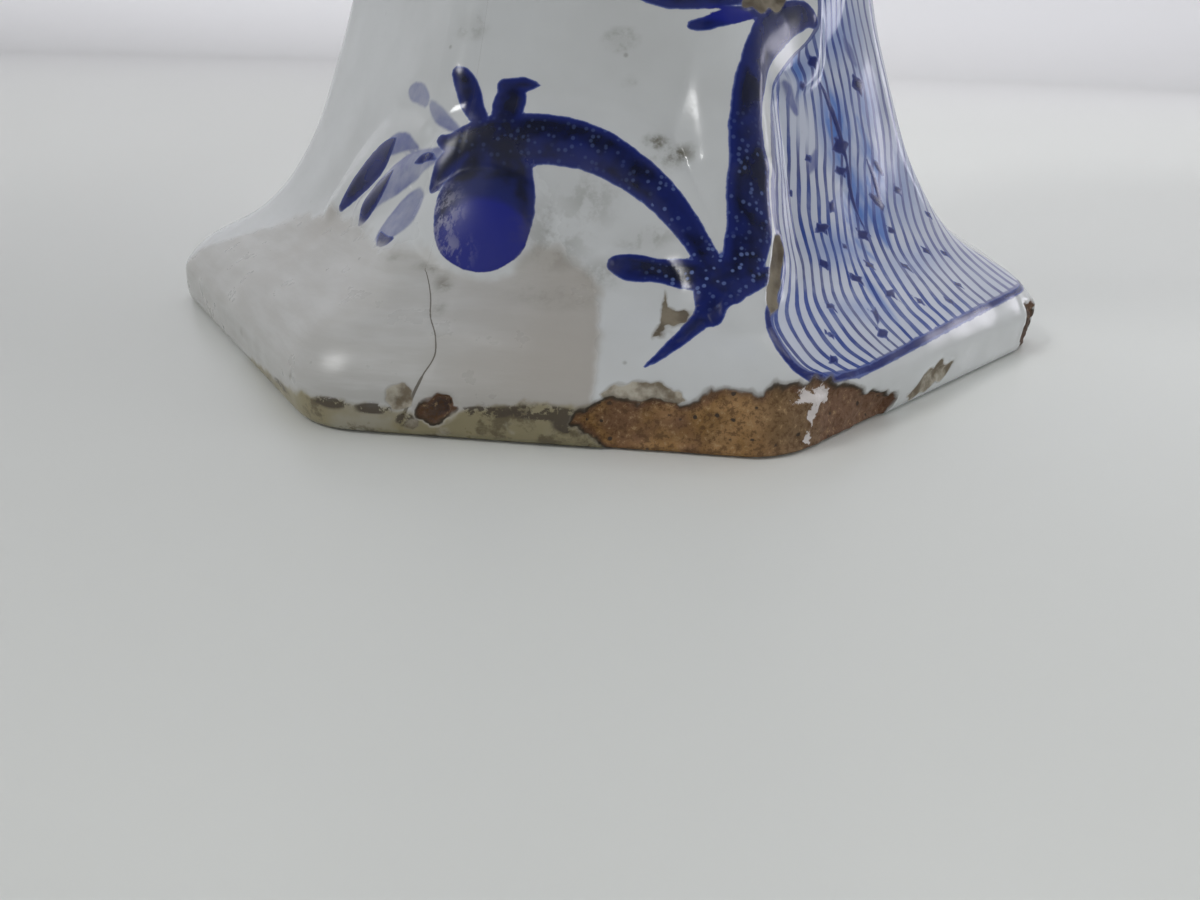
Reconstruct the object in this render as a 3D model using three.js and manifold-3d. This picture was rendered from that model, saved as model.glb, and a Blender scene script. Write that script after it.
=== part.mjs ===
// Lidded garniture vase of tin-glazed earthenware: an eight-sided baluster body on a flared foot,
// a collar-shaped neck, and a domed lid with a bud knob. Millimetres, +Z up, front face toward -Y.
import * as THREE from 'three';
import { mergeVertices, toCreasedNormals } from 'three/addons/utils/BufferGeometryUtils.js';
import Module from 'manifold-3d';

const wasm = await Module();
wasm.setup();

// Driving dimensions. Half widths run from the middle axis to the middle of a side face.
const FOOT_HALF = 60;            // half width of the foot at the standing line
const FOOT_HALF_DEPTH = 65;      // the same from the axis to the front face; it sets the plan of every level
const FACE_HALF = 23;            // half length of the foot's front, back and side faces
const ARRIS_RADIUS = 9;          // rounding of the foot's eight upright corners
const BAND_HEIGHT = 5;           // upright band round the bottom of the foot
const FOOT_RING = 8;             // width of the standing ring, seen from below
const FOOT_HOLLOW = 44;          // height of the hollow under the foot
const FOOT_WALL = 4;             // offset of the hollow from the flared outside
const WAIST_HALF = 31.5;         // half width where the foot is luted to the body
const WAIST_HEIGHT = 54;
const BELLY_HALF = 70;           // greatest half width of the body
const BELLY_HEIGHT = 186;
const FLOOR_THICKNESS = 6;       // clay floor inside the body, above the waist
const BODY_WALL = 6;
const COLLAR_HEIGHT = 246;       // where the neck is luted on to the shoulder
const NECK_HALF = 36;            // narrowest half width of the neck
const NECK_HEIGHT = 262;
const RIM_HALF = 42;             // half width at the lip
const RIM_HEIGHT = 284;
const NECK_WALL = 5.5;
const FLANGE_DEPTH = 12;         // how far the lid's locating ring hangs into the neck
const FLANGE_WALL = 4;
const FLANGE_CLEARANCE = 1.2;    // gap all round between the ring and the neck
const LID_OVERHANG = 3.5;        // how far the lid's edge stands out past the lip
const LID_LEDGE = 6;             // thickness of the flat ledge that rests on the lip
const LID_HEIGHT = 47;           // lip to the flat where the knob is luted on
const LID_TOP_HALF = 10.5;
const LID_WALL = 5;
const DOME_INSET = 5.5;          // how far the dome springs inside the ledge's edge
const EDGE_ROUND = 1.5;          // rounding of the ledge's and the locating ring's edges
const KNOP_HEIGHT = 37;
const KNOP_HALF = 17;
const KNOP_LOBES = 8;
const KNOP_LOBE_DEPTH = 0.07;    // depth of the grooves between lobes over the radius
const RELIEF_RADIUS = 3.2;       // half width of the raised scroll on the foot
const RELIEF_SINK = 1.6;         // how deep its middle line lies under the surface
const VOLUTE_RADIUS = 7;         // ball that ends the C-shaped scroll
const VOLUTE_SINK = 4.4;
const FILL_GAP = 0.3;            // gap between a restorer's fill and the clay beside it
const CRACK_AT = -11;            // crack between the two fills, left of the middle of the front
const FRONT_FILL_RIGHT = 4.5;
const FRONT_FILL_TOP = 12;
const CORNER_FILL_BACK = -25;    // where the corner fill ends on the left side face
const CORNER_FILL_TOP = 16;
const CUT_MARGIN = 5;            // how far a cutting block reaches past the surface

const GLAZE = { color: 0xdfe3e8, roughness: 0.22, metalness: 0 };
const FILL_PAINT = { color: 0xaaa9a2, roughness: 0.55, metalness: 0 };
const ARC_STEPS = 3;

// Outlines as [height share, width share] between two named sizes.
const FLARE = [[0, 1], [0.07, 0.89], [0.17, 0.59], [0.34, 0.36], [0.6, 0.17], [0.85, 0.04], [1, 0]];
const RISE = [[0.09, 0.04], [0.21, 0.17], [0.39, 0.43], [0.61, 0.74], [0.8, 0.935], [1, 1]];
const SHOULDER = [[0.26, 0.925], [0.47, 0.735], [0.66, 0.44], [0.79, 0.19], [0.88, 0.06], [1, 0]];
const LIP = [[0.45, 0.1], [0.86, 0.67], [1, 1]];

function between(table, halfA, heightA, halfB, heightB, falling) {
  return table.map(([up, wide]) => new THREE.Vector2(
    falling ? halfB + wide * (halfA - halfB) : halfA + wide * (halfB - halfA),
    heightA + up * (heightB - heightA)));
}

const OUTLINE = new THREE.SplineCurve([
  ...between(FLARE, FOOT_HALF, BAND_HEIGHT, WAIST_HALF, WAIST_HEIGHT, true),
  ...between(RISE, WAIST_HALF, WAIST_HEIGHT, BELLY_HALF, BELLY_HEIGHT, false),
  ...between(SHOULDER, BELLY_HALF, BELLY_HEIGHT, NECK_HALF, NECK_HEIGHT, true),
  ...between(LIP, NECK_HALF, NECK_HEIGHT, RIM_HALF, RIM_HEIGHT, false),
]).getPoints(420);

// Half width of the vase at a height, read off the smooth outline.
function halfWidth(height) {
  if (height <= BAND_HEIGHT) return FOOT_HALF;
  for (let i = 1; i < OUTLINE.length; i += 1) {
    const a = OUTLINE[i - 1];
    const b = OUTLINE[i];
    if (height <= b.y) return a.x + ((b.x - a.x) * (height - a.y)) / Math.max(b.y - a.y, 1e-6);
  }
  return RIM_HALF;
}

// Plan of one level for a half width of 1: a long octagon with rounded corners, counter-clockwise.
function unitPlan() {
  const d = FOOT_HALF_DEPTH / FOOT_HALF;
  const f = FACE_HALF / FOOT_HALF;
  const r = ARRIS_RADIUS / FOOT_HALF;
  const corners = [[f, -d], [1, -f], [1, f], [f, d], [-f, d], [-1, f], [-1, -f], [-f, -d]]
    .map(([x, y]) => new THREE.Vector2(x, y));
  const points = [];
  corners.forEach((corner, i) => {
    const before = corners[(i + 7) % 8].clone().sub(corner).normalize();
    const after = corners[(i + 1) % 8].clone().sub(corner).normalize();
    const half = Math.acos(before.dot(after)) / 2;
    const reach = r / Math.tan(half);
    const centre = before.clone().add(after).normalize()
      .multiplyScalar(r / Math.sin(half)).add(corner);
    const start = before.clone().multiplyScalar(reach).add(corner).sub(centre);
    const end = after.clone().multiplyScalar(reach).add(corner).sub(centre);
    const turn = Math.atan2(start.x * end.y - start.y * end.x, start.dot(end));
    for (let k = 0; k <= ARC_STEPS; k += 1) {
      points.push(start.clone().rotateAround(new THREE.Vector2(), (turn * k) / ARC_STEPS).add(centre));
    }
    const next = corners[(i + 1) % 8];
    points.push(corner.clone().add(next).multiplyScalar(0.5));
  });
  return points;
}

const PLAN = unitPlan();

function planRing(half, height) {
  return PLAN.map((p) => new THREE.Vector3(p.x * half, p.y * half, height));
}

function lobedRing(half, height) {
  return PLAN.map((p) => {
    const angle = Math.atan2(p.y, p.x);
    const radius = half * (1 - KNOP_LOBE_DEPTH * (0.5 + 0.5 * Math.cos(KNOP_LOBES * angle)));
    return new THREE.Vector3(Math.cos(angle) * radius, Math.sin(angle) * radius, height);
  });
}

// Joins rings that run up the outside and down the inside; either capped at both ends or closed on itself.
function loft(rings, closed = false) {
  const count = rings[0].length;
  const positions = [];
  const faces = [];
  rings.forEach((ring) => ring.forEach((p) => positions.push(p.x, p.y, p.z)));
  const spans = closed ? rings.length : rings.length - 1;
  for (let k = 0; k < spans; k += 1) {
    const low = k * count;
    const high = ((k + 1) % rings.length) * count;
    for (let i = 0; i < count; i += 1) {
      const j = (i + 1) % count;
      faces.push(low + i, low + j, high + j, low + i, high + j, high + i);
    }
  }
  if (!closed) {
    const last = (rings.length - 1) * count;
    const first = positions.length / 3;
    positions.push(0, 0, rings[0][0].z, 0, 0, rings[rings.length - 1][0].z);
    for (let i = 0; i < count; i += 1) {
      const j = (i + 1) % count;
      faces.push(first, j, i, first + 1, last + i, last + j);
    }
  }
  const geometry = new THREE.BufferGeometry();
  geometry.setAttribute('position', new THREE.Float32BufferAttribute(positions, 3));
  geometry.setIndex(faces);
  return geometry;
}

function toSolid(geometry) {
  const bare = geometry.clone();
  bare.deleteAttribute('normal');
  bare.deleteAttribute('uv');
  const merged = mergeVertices(bare, 1e-5);
  const mesh = new wasm.Mesh({
    numProp: 3,
    vertProperties: new Float32Array(merged.attributes.position.array),
    triVerts: new Uint32Array(merged.index.array),
  });
  return new wasm.Manifold(mesh);
}

function fromSolid(solid) {
  const mesh = solid.getMesh();
  const geometry = new THREE.BufferGeometry();
  geometry.setAttribute('position', new THREE.BufferAttribute(new Float32Array(mesh.vertProperties), 3));
  geometry.setIndex(new THREE.BufferAttribute(new Uint32Array(mesh.triVerts), 1));
  return geometry;
}

function piece(name, geometry, paint) {
  const mesh = new THREE.Mesh(toCreasedNormals(geometry, Math.PI / 5), new THREE.MeshStandardMaterial(paint));
  mesh.name = name;
  return mesh;
}

// Levels between two heights; a power above 1 crowds them towards the first.
function steps(from, to, count, power = 1) {
  return Array.from({ length: count + 1 }, (_, i) => from + (to - from) * (i / count) ** power);
}

// A point of the foot's outside: distance round from the middle of the front, measured at the band,
// and the height; lifted off the surface by a small amount, level with the plan.
function footPoint(around, height, lift) {
  const loop = PLAN.map((p) => new THREE.Vector2(p.x, p.y).multiplyScalar(FOOT_HALF));
  const front = new THREE.Vector2(0, -FOOT_HALF_DEPTH);
  const half = PLAN.length / 2;
  const right = [front, ...loop.slice(0, half)];
  const left = [front, ...loop.slice(half, PLAN.length - 1).reverse()];
  const side = around >= 0 ? right : left;
  let rest = Math.abs(around);
  let at = side[side.length - 1].clone();
  for (let i = 1; i < side.length; i += 1) {
    const span = side[i].distanceTo(side[i - 1]);
    if (rest <= span) {
      at = side[i - 1].clone().lerp(side[i], rest / Math.max(span, 1e-6));
      break;
    }
    rest -= span;
  }
  const scale = halfWidth(height) / FOOT_HALF;
  const radius = at.length();
  return new THREE.Vector3(at.x * scale + (lift * at.x) / radius, at.y * scale + (lift * at.y) / radius, height);
}

// Foot: a flared block whose flat top is luted to the body, hollowed from below.
function footBlock() {
  const flare = steps(BAND_HEIGHT, WAIST_HEIGHT, 17, 1.5).map((height) => planRing(halfWidth(height), height));
  return toSolid(loft([planRing(FOOT_HALF, 0), ...flare]));
}

function footHollow() {
  const rings = steps(0, FOOT_HOLLOW, 11, 1.3).map((height) => {
    const inside = halfWidth(height + FOOT_WALL) - FOOT_WALL;
    return planRing(Math.min(inside, FOOT_HALF - FOOT_RING), height);
  });
  return toSolid(loft([planRing(FOOT_HALF - FOOT_RING, -CUT_MARGIN), ...rings]));
}

// Raised scrolls of the foot, as shares: round the foot over half the front face's length, and up between
// the band and the waist.
const C_SCROLL = [[0.83, 0.14], [0.85, 0.21], [0.8, 0.28], [0.65, 0.33], [0.43, 0.38], [0.13, 0.43], [-0.24, 0.45],
  [-0.57, 0.44], [-0.78, 0.41], [-0.91, 0.36], [-0.87, 0.31]];
const S_SCROLL = [[0.9, 0.15], [1, 0.23], [1.09, 0.31], [1.15, 0.41], [1.24, 0.49], [1.37, 0.56], [1.7, 0.62]];
const VOLUTE = [-0.54, 0.26];

function scrollPoint([along, up], sink) {
  return footPoint(along * FACE_HALF, BAND_HEIGHT + up * (WAIST_HEIGHT - BAND_HEIGHT), -sink);
}

function scrollSolid(path) {
  const curve = new THREE.CatmullRomCurve3(path.map((share) => scrollPoint(share, RELIEF_SINK)));
  const section = new THREE.Shape().absarc(0, 0, RELIEF_RADIUS, 0, Math.PI * 2);
  return toSolid(new THREE.ExtrudeGeometry(section, { extrudePath: curve, steps: 18, curveSegments: 5 }));
}

function volute() {
  const ball = new THREE.SphereGeometry(VOLUTE_RADIUS, 12, 8);
  const middle = scrollPoint(VOLUTE, VOLUTE_SINK);
  ball.translate(middle.x, middle.y, middle.z);
  return toSolid(ball);
}

function upright(outline, top) {
  const shape = new THREE.Shape(outline.map(([x, y]) => new THREE.Vector2(x, y)));
  const prism = new THREE.ExtrudeGeometry(shape, { depth: top + CUT_MARGIN, bevelEnabled: false });
  prism.translate(0, 0, -CUT_MARGIN);
  return toSolid(prism);
}

// Plan areas of the two fills in the standing edge; the clay is cut back further by the gap.
const CUT_FRONT = -FOOT_HALF_DEPTH - CUT_MARGIN;
const CUT_SIDE = -FOOT_HALF - CUT_MARGIN;
const CUT_INSIDE = -FOOT_HALF_DEPTH * 0.5;

function frontFillArea(gap) {
  const left = CRACK_AT - gap;
  const right = FRONT_FILL_RIGHT + gap;
  return upright([[left, CUT_FRONT], [right, CUT_FRONT], [right, CUT_INSIDE], [left, CUT_INSIDE]], FRONT_FILL_TOP);
}

function cornerFillArea(gap) {
  const right = CRACK_AT - FILL_GAP + gap;
  const back = CORNER_FILL_BACK + gap;
  return upright([[CUT_SIDE, CUT_FRONT], [right, CUT_FRONT], [right, CUT_INSIDE], [-FOOT_HALF * 0.42, back],
    [CUT_SIDE, back]], CORNER_FILL_TOP);
}

function buildFoot() {
  const relief = volute().add(scrollSolid(C_SCROLL)).add(scrollSolid(S_SCROLL));
  const whole = footBlock().add(relief).add(relief.rotate([0, 0, 180])).subtract(footHollow());
  const front = whole.intersect(frontFillArea(0));
  const corner = whole.intersect(cornerFillArea(0));
  const clay = whole.subtract(frontFillArea(FILL_GAP)).subtract(cornerFillArea(FILL_GAP));
  return { clay: fromSolid(clay), front: fromSolid(front), corner: fromSolid(corner) };
}

// Body: closed floor above the waist, open at the collar.
function buildBody() {
  const inside = (height) => planRing(halfWidth(height) - BODY_WALL, height);
  const outer = steps(WAIST_HEIGHT, COLLAR_HEIGHT, 24).map((height) => planRing(halfWidth(height), height));
  const inner = steps(COLLAR_HEIGHT, WAIST_HEIGHT + FLOOR_THICKNESS, 15).map(inside);
  return loft([...outer, ...inner]);
}

// Neck: open tube from the shoulder to the lip. It meets the body on a flat ring.
function buildNeck() {
  const heights = steps(COLLAR_HEIGHT, RIM_HEIGHT, 8);
  const outer = heights.map((height) => planRing(halfWidth(height), height));
  const inner = heights.map((height) => planRing(halfWidth(height) - NECK_WALL, height)).reverse();
  return loft([...outer, ...inner], true);
}

// Narrowest inside of the neck along the depth the locating ring reaches.
function ringRoom() {
  const reach = steps(RIM_HEIGHT - FLANGE_DEPTH, RIM_HEIGHT, 12);
  return Math.min(...reach.map((height) => halfWidth(height))) - NECK_WALL;
}

const FLANGE_HALF = ringRoom() - FLANGE_CLEARANCE;

// Locating ring under the lid; the eight-sided plan keeps the lid from turning.
function buildFlange() {
  const inner = FLANGE_HALF - FLANGE_WALL;
  const low = RIM_HEIGHT - FLANGE_DEPTH;
  return loft([planRing(FLANGE_HALF - EDGE_ROUND / 2, low), planRing(FLANGE_HALF, low + EDGE_ROUND),
    planRing(FLANGE_HALF, RIM_HEIGHT),
    planRing(inner, RIM_HEIGHT), planRing(inner, low)], true);
}

// Lid: flat ledge that rests on the lip, then a hollow dome up to the flat under the knob.
function buildDome() {
  const edge = RIM_HALF + LID_OVERHANG;
  const mouth = FLANGE_HALF - FLANGE_WALL;
  const up = (share) => RIM_HEIGHT + LID_LEDGE + share * (LID_HEIGHT - LID_LEDGE);
  const spring = edge - DOME_INSET;
  const wide = (share) => LID_TOP_HALF + share * (spring - LID_TOP_HALF);
  const dome = new THREE.SplineCurve([[1, 0.1], [0.95, 0.27], [0.75, 0.5], [0.46, 0.68], [0.2, 0.83], [0, 1]]
    .map(([w, u]) => new THREE.Vector2(wide(w), up(u)))).getPoints(10);
  const hollow = dome.filter((p) => p.x - LID_WALL > LID_TOP_HALF * 0.6)
    .map((p) => planRing(p.x - LID_WALL, p.y - LID_WALL * 0.4)).reverse();
  const ledge = RIM_HEIGHT + LID_LEDGE;
  return loft([...hollow, planRing(mouth, ledge - EDGE_ROUND / 3), planRing(mouth, RIM_HEIGHT),
    planRing(edge - EDGE_ROUND / 3, RIM_HEIGHT), planRing(edge, RIM_HEIGHT + EDGE_ROUND / 2),
    planRing(edge, ledge - EDGE_ROUND), planRing(edge - EDGE_ROUND, ledge), planRing(spring, ledge + EDGE_ROUND / 3),
    ...dome.map((p) => planRing(p.x, p.y))]);
}

// Knob: a closed bud with shallow lobes on a short waisted stem.
function buildKnop() {
  const base = RIM_HEIGHT + LID_HEIGHT;
  const bud = new THREE.SplineCurve([[0.6, 0], [0.68, 0.05], [0.55, 0.12], [0.47, 0.2], [0.8, 0.32], [1, 0.48],
    [0.97, 0.64], [0.7, 0.82], [0.35, 0.94], [0.12, 1]]
    .map(([w, u]) => new THREE.Vector2(w * KNOP_HALF, base + u * KNOP_HEIGHT))).getPoints(18);
  return loft(bud.map((p) => lobedRing(p.x, p.y)));
}

const footParts = buildFoot();
const pot = new THREE.Group();
pot.add(piece('foot', footParts.clay, GLAZE));
pot.add(piece('foot_front_fill', footParts.front, FILL_PAINT));
pot.add(piece('foot_corner_fill', footParts.corner, FILL_PAINT));
pot.add(piece('body', buildBody(), GLAZE));
pot.add(piece('neck', buildNeck(), GLAZE));

const lid = new THREE.Group();
lid.add(piece('lid_dome', buildDome(), GLAZE));
lid.add(piece('lid_flange', buildFlange(), GLAZE));
lid.add(piece('knop', buildKnop(), GLAZE));

const vase = new THREE.Group();
vase.add(pot, lid);

export default vase;
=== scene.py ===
# %% [markdown]
# # A lidded vase in tin-glazed earthenware
# The photograph shows the flared foot of an eight-sided vase. Such vases have a tall baluster body, a
# collar neck and a domed lid, each pressed in a mould, joined with slip, dipped in white tin glaze and
# painted in cobalt blue, and everything above the foot follows that common form. This lesson rebuilds the
# surfaces as numpy grids over the plain CAD frame, then paints them with shader nodes that read
# measurements stored on the vertices. All working sizes are millimetres, as a potter would give them.

import bpy
import numpy as np
from mathutils import Matrix


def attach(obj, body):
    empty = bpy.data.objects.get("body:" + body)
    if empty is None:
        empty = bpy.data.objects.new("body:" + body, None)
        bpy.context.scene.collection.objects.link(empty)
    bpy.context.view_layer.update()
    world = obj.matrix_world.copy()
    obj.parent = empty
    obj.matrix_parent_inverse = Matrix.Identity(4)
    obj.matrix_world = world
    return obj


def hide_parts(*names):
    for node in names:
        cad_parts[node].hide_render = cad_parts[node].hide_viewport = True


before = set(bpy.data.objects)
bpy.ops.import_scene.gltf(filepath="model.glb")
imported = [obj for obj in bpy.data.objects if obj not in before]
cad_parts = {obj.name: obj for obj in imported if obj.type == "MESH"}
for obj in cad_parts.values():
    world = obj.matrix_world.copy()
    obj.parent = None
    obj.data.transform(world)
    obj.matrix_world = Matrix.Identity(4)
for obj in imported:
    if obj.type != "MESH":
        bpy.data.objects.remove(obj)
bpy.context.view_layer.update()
MM = 0.001
scene = bpy.context.scene

# %% [markdown]
# ## The outline and the plan
# Every level of the vase is the same long octagon with rounded corners, scaled to the outline's half
# width. A lathe could not give the flat facets, and eight separate panels would not give the soft
# arrises, so the surface is one function of two numbers: how far round, measured along the foot's band,
# and how high.

# %% Smooth curves through a few points
def spline(points, steps=16):
    """Catmull-Rom curve: passes through every point, parallel there to the chord of its neighbours."""
    p = np.asarray(points, float)
    q = np.vstack([p[:1], p, p[-1:]])
    t = (np.arange(steps) / steps)[None, :, None]
    a, b, c, d = (q[i:len(q) - 3 + i, None, :] for i in range(4))
    curve = 0.5 * (2 * b + (c - a) * t + (2 * a - 5 * b + 4 * c - d) * t**2
                   + (3 * b - a - 3 * c + d) * t**3)
    return np.vstack([curve.reshape(-1, p.shape[1]), p[-1:]])


FOOT_HALF, FOOT_HALF_DEPTH, FACE_HALF, ARRIS_RADIUS = 60.0, 65.0, 23.0, 9.0
BAND, WAIST, COLLAR, RIM = 5.0, 54.0, 246.0, 284.0
OUTLINE = spline([
    (60, 5), (56.87, 8.43), (48.32, 13.33), (41.76, 21.66), (36.35, 34.4), (32.64, 46.65), (31.5, 54),
    (33.04, 65.88), (38.05, 81.72), (48.06, 105.5), (59.99, 134.5), (67.5, 159.6), (70, 186),
    (67.45, 205.8), (60.99, 221.7), (50.96, 236.2), (42.46, 246), (38.04, 252.9), (36, 262),
    (36.6, 271.9), (40.02, 280.9), (42, 284)])


def half_width(height):
    """Half width of the vase at a height, read off the outline; straight up through the band."""
    return np.where(np.asarray(height) < BAND, FOOT_HALF, np.interp(height, OUTLINE[:, 1], OUTLINE[:, 0]))


print("outline points:", len(OUTLINE), "narrowest waist:", round(float(half_width(WAIST)), 1))

# %% The octagon with rounded corners
def octagon():
    """Corners of the octagon, each replaced by an arc that touches both of its sides."""
    a, b, f, r = FOOT_HALF, FOOT_HALF_DEPTH, FACE_HALF, ARRIS_RADIUS
    corners = np.array([(f, -b), (a, -f), (a, f), (f, b), (-f, b), (-a, f), (-a, -f), (-f, -b)])
    before = np.roll(corners, 1, axis=0) - corners
    after = np.roll(corners, -1, axis=0) - corners
    before /= np.linalg.norm(before, axis=1, keepdims=True)
    after /= np.linalg.norm(after, axis=1, keepdims=True)
    half = np.arccos((before * after).sum(1)) / 2
    inward = before + after
    centre = corners + inward / np.linalg.norm(inward, axis=1, keepdims=True) * (r / np.sin(half))[:, None]
    start = corners + before * (r / np.tan(half))[:, None] - centre
    end = corners + after * (r / np.tan(half))[:, None] - centre
    turn = np.arctan2(start[:, 0] * end[:, 1] - start[:, 1] * end[:, 0], (start * end).sum(1))
    angle = np.arctan2(start[:, 1], start[:, 0])[:, None] + turn[:, None] * np.linspace(0, 1, 13)
    arcs = centre[:, None, :] + r * np.stack([np.cos(angle), np.sin(angle)], -1)
    front = np.array([[0.0, -b]])
    return np.vstack([front, arcs.reshape(-1, 2), front])


PLAN = octagon()
PLAN_AT = np.concatenate([[0], np.cumsum(np.linalg.norm(np.diff(PLAN, axis=0), axis=1))])
GIRTH = PLAN_AT[-1]
SIDES = (GIRTH / 4, -GIRTH / 4)


def plan(around):
    """Point of the foot's octagon at a distance round from the middle of the front, to the right."""
    at = np.mod(around, GIRTH)
    return np.stack([np.interp(at, PLAN_AT, PLAN[:, 0]), np.interp(at, PLAN_AT, PLAN[:, 1])], -1)


def on_vase(around, height):
    """Point of the vase's plain outside: the octagon scaled by the outline, at that height."""
    xy = plan(around) * (half_width(height) / FOOT_HALF)[..., None]
    return np.concatenate([xy, np.asarray(height, float)[..., None]], -1)


print("girth of the foot:", round(GIRTH, 1), "mm")

# %% [markdown]
# ## Camera
# The photograph was taken from very near, looking down at some 26 degrees with the picture tilted by two
# degrees. With a foot 120 mm wide the camera is about 15 cm away. A short lens at that distance is what
# makes the corners of the foot rush outward.

# %% Place the camera
def seated(axes, place):
    """Matrix of an object whose own x, y and z are the columns of axes, standing at a place."""
    return Matrix([[*row, at] for row, at in zip(axes, place)] + [[0, 0, 0, 1]])


CAM_AZIMUTH, CAM_ELEVATION, CAM_ROLL = np.radians([5.1, 25.9, 1.9])
CAM_DISTANCE, CAM_SIDE, CAM_HEIGHT, CAM_LENS = 151.7, -0.3, -31.5, 24.9
back = np.array([np.sin(CAM_AZIMUTH) * np.cos(CAM_ELEVATION), -np.cos(CAM_AZIMUTH) * np.cos(CAM_ELEVATION),
                 np.sin(CAM_ELEVATION)])
level = np.array([np.cos(CAM_AZIMUTH), np.sin(CAM_AZIMUTH), 0.0])
upward = np.cross(back, level)
right = np.cos(CAM_ROLL) * level + np.sin(CAM_ROLL) * upward
top = -np.sin(CAM_ROLL) * level + np.cos(CAM_ROLL) * upward
place = (np.array([0, 0, CAM_HEIGHT]) + level * CAM_SIDE + back * CAM_DISTANCE) * MM
camera = bpy.data.objects.new("camera", bpy.data.cameras.new("camera"))
camera.data.lens = CAM_LENS
camera.data.sensor_width = 36
camera.data.clip_start = 0.01
camera.matrix_world = seated(np.stack([right, top, back], 1), place)
scene.collection.objects.link(camera)
scene.camera = camera
scene.view_settings.view_transform = "Standard"
print("camera at", place.round(4))

# %% [markdown]
# ## Brush strokes and ridges as distances
# Blue strokes and raised scrolls follow the same kind of line, so both are kept as a middle line with a
# half width that swells and tapers. For each point of the clay the distance to that line is worked out
# once; the shader then turns the number into paint, and the mesh turns it into height. A picture texture
# would blur at close range, while a distance stays sharp.

# %% Lines on the vase and the distance to them
def trace(points, steps=8):
    """Middle line of a stroke: spline through (around, height, half width), laid on the plain outside."""
    path = spline(points, steps)
    return np.column_stack([on_vase(path[:, 0], path[:, 1]), path[:, 2]])


def near_line(spots, line, margin):
    """Numbers of the spots inside the line's own box widened by a margin."""
    low, high = line[:, :3].min(0) - margin, line[:, :3].max(0) + margin
    return np.flatnonzero(np.all((spots > low) & (spots < high), axis=1))


def beside_segment(spots, a, b):
    """Share of the way from a to b where each spot is nearest, and its distance to that place."""
    along = b[:3] - a[:3]
    t = np.clip((spots - a[:3]) @ along / max(along @ along, 1e-9), 0, 1)
    return t, np.linalg.norm(spots - a[:3] - t[:, None] * along, axis=1)


def stroke_distance(spots, strokes, reach=9.0):
    """Signed distance in mm: to the nearest point of a stroke's middle line, less its half width there."""
    best = np.full(len(spots), reach)
    for line in strokes:
        near = near_line(spots, line, reach * 0.6 + line[:, 3].max())
        found = best[near]
        for a, b in zip(line[:-1], line[1:]):
            t, away = beside_segment(spots[near], a, b)
            found = np.minimum(found, away - (a[3] + (b[3] - a[3]) * t))
        best[near] = found
    return best


def ridge_height(spots, lines):
    """Height of raised scrolls: a hump (1 - (d/r)^2)^1.5, its radius and height read along each line."""
    lift = np.zeros(len(spots))
    for points, first, last in lines:
        line = trace(points)
        rise = np.linspace(first, last, len(line))
        near = near_line(spots, line, line[:, 3].max())
        found = lift[near]
        for a, b, low, high in zip(line[:-1], line[1:], rise[:-1], rise[1:]):
            t, away = beside_segment(spots[near], a, b)
            gap = away / (a[3] + (b[3] - a[3]) * t)
            found = np.maximum(found, (low + (high - low) * t) * np.clip(1 - gap**2, 0, 1) ** 1.5)
        lift[near] = found
    return lift


def ripple(spots, size, seed=0):
    """Smooth unevenness between -1 and 1: four waves of about that size in mm, crossing at odd angles."""
    rng = np.random.default_rng(seed)
    total = np.zeros(len(spots))
    for _ in range(4):
        heading = rng.normal(size=3)
        heading *= 2 * np.pi / (size * rng.uniform(0.7, 1.5) * np.linalg.norm(heading))
        total += np.sin(spots @ heading + rng.uniform(0, 6.28))
    return total / 2.6


def patch(spots, around, height, wide, tall, soft=0.35):
    """Soft oval from 1 at its middle to 0 outside, given in mm round and up the plain outside."""
    middle = on_vase(np.array(around, float), np.array(height, float))
    beside = on_vase(np.array(around + 1.0), np.array(height, float)) - middle
    above = on_vase(np.array(around, float), np.array(height + 1.0)) - middle
    beside /= np.linalg.norm(beside)
    above /= np.linalg.norm(above)
    off = spots - middle
    reach = np.hypot(off @ beside / wide, off @ above / tall)
    deep = np.abs(off @ np.cross(beside, above)) < max(wide, tall)
    return np.clip((1 - reach) / soft, 0, 1) * deep


print("helpers for strokes are ready")

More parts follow.
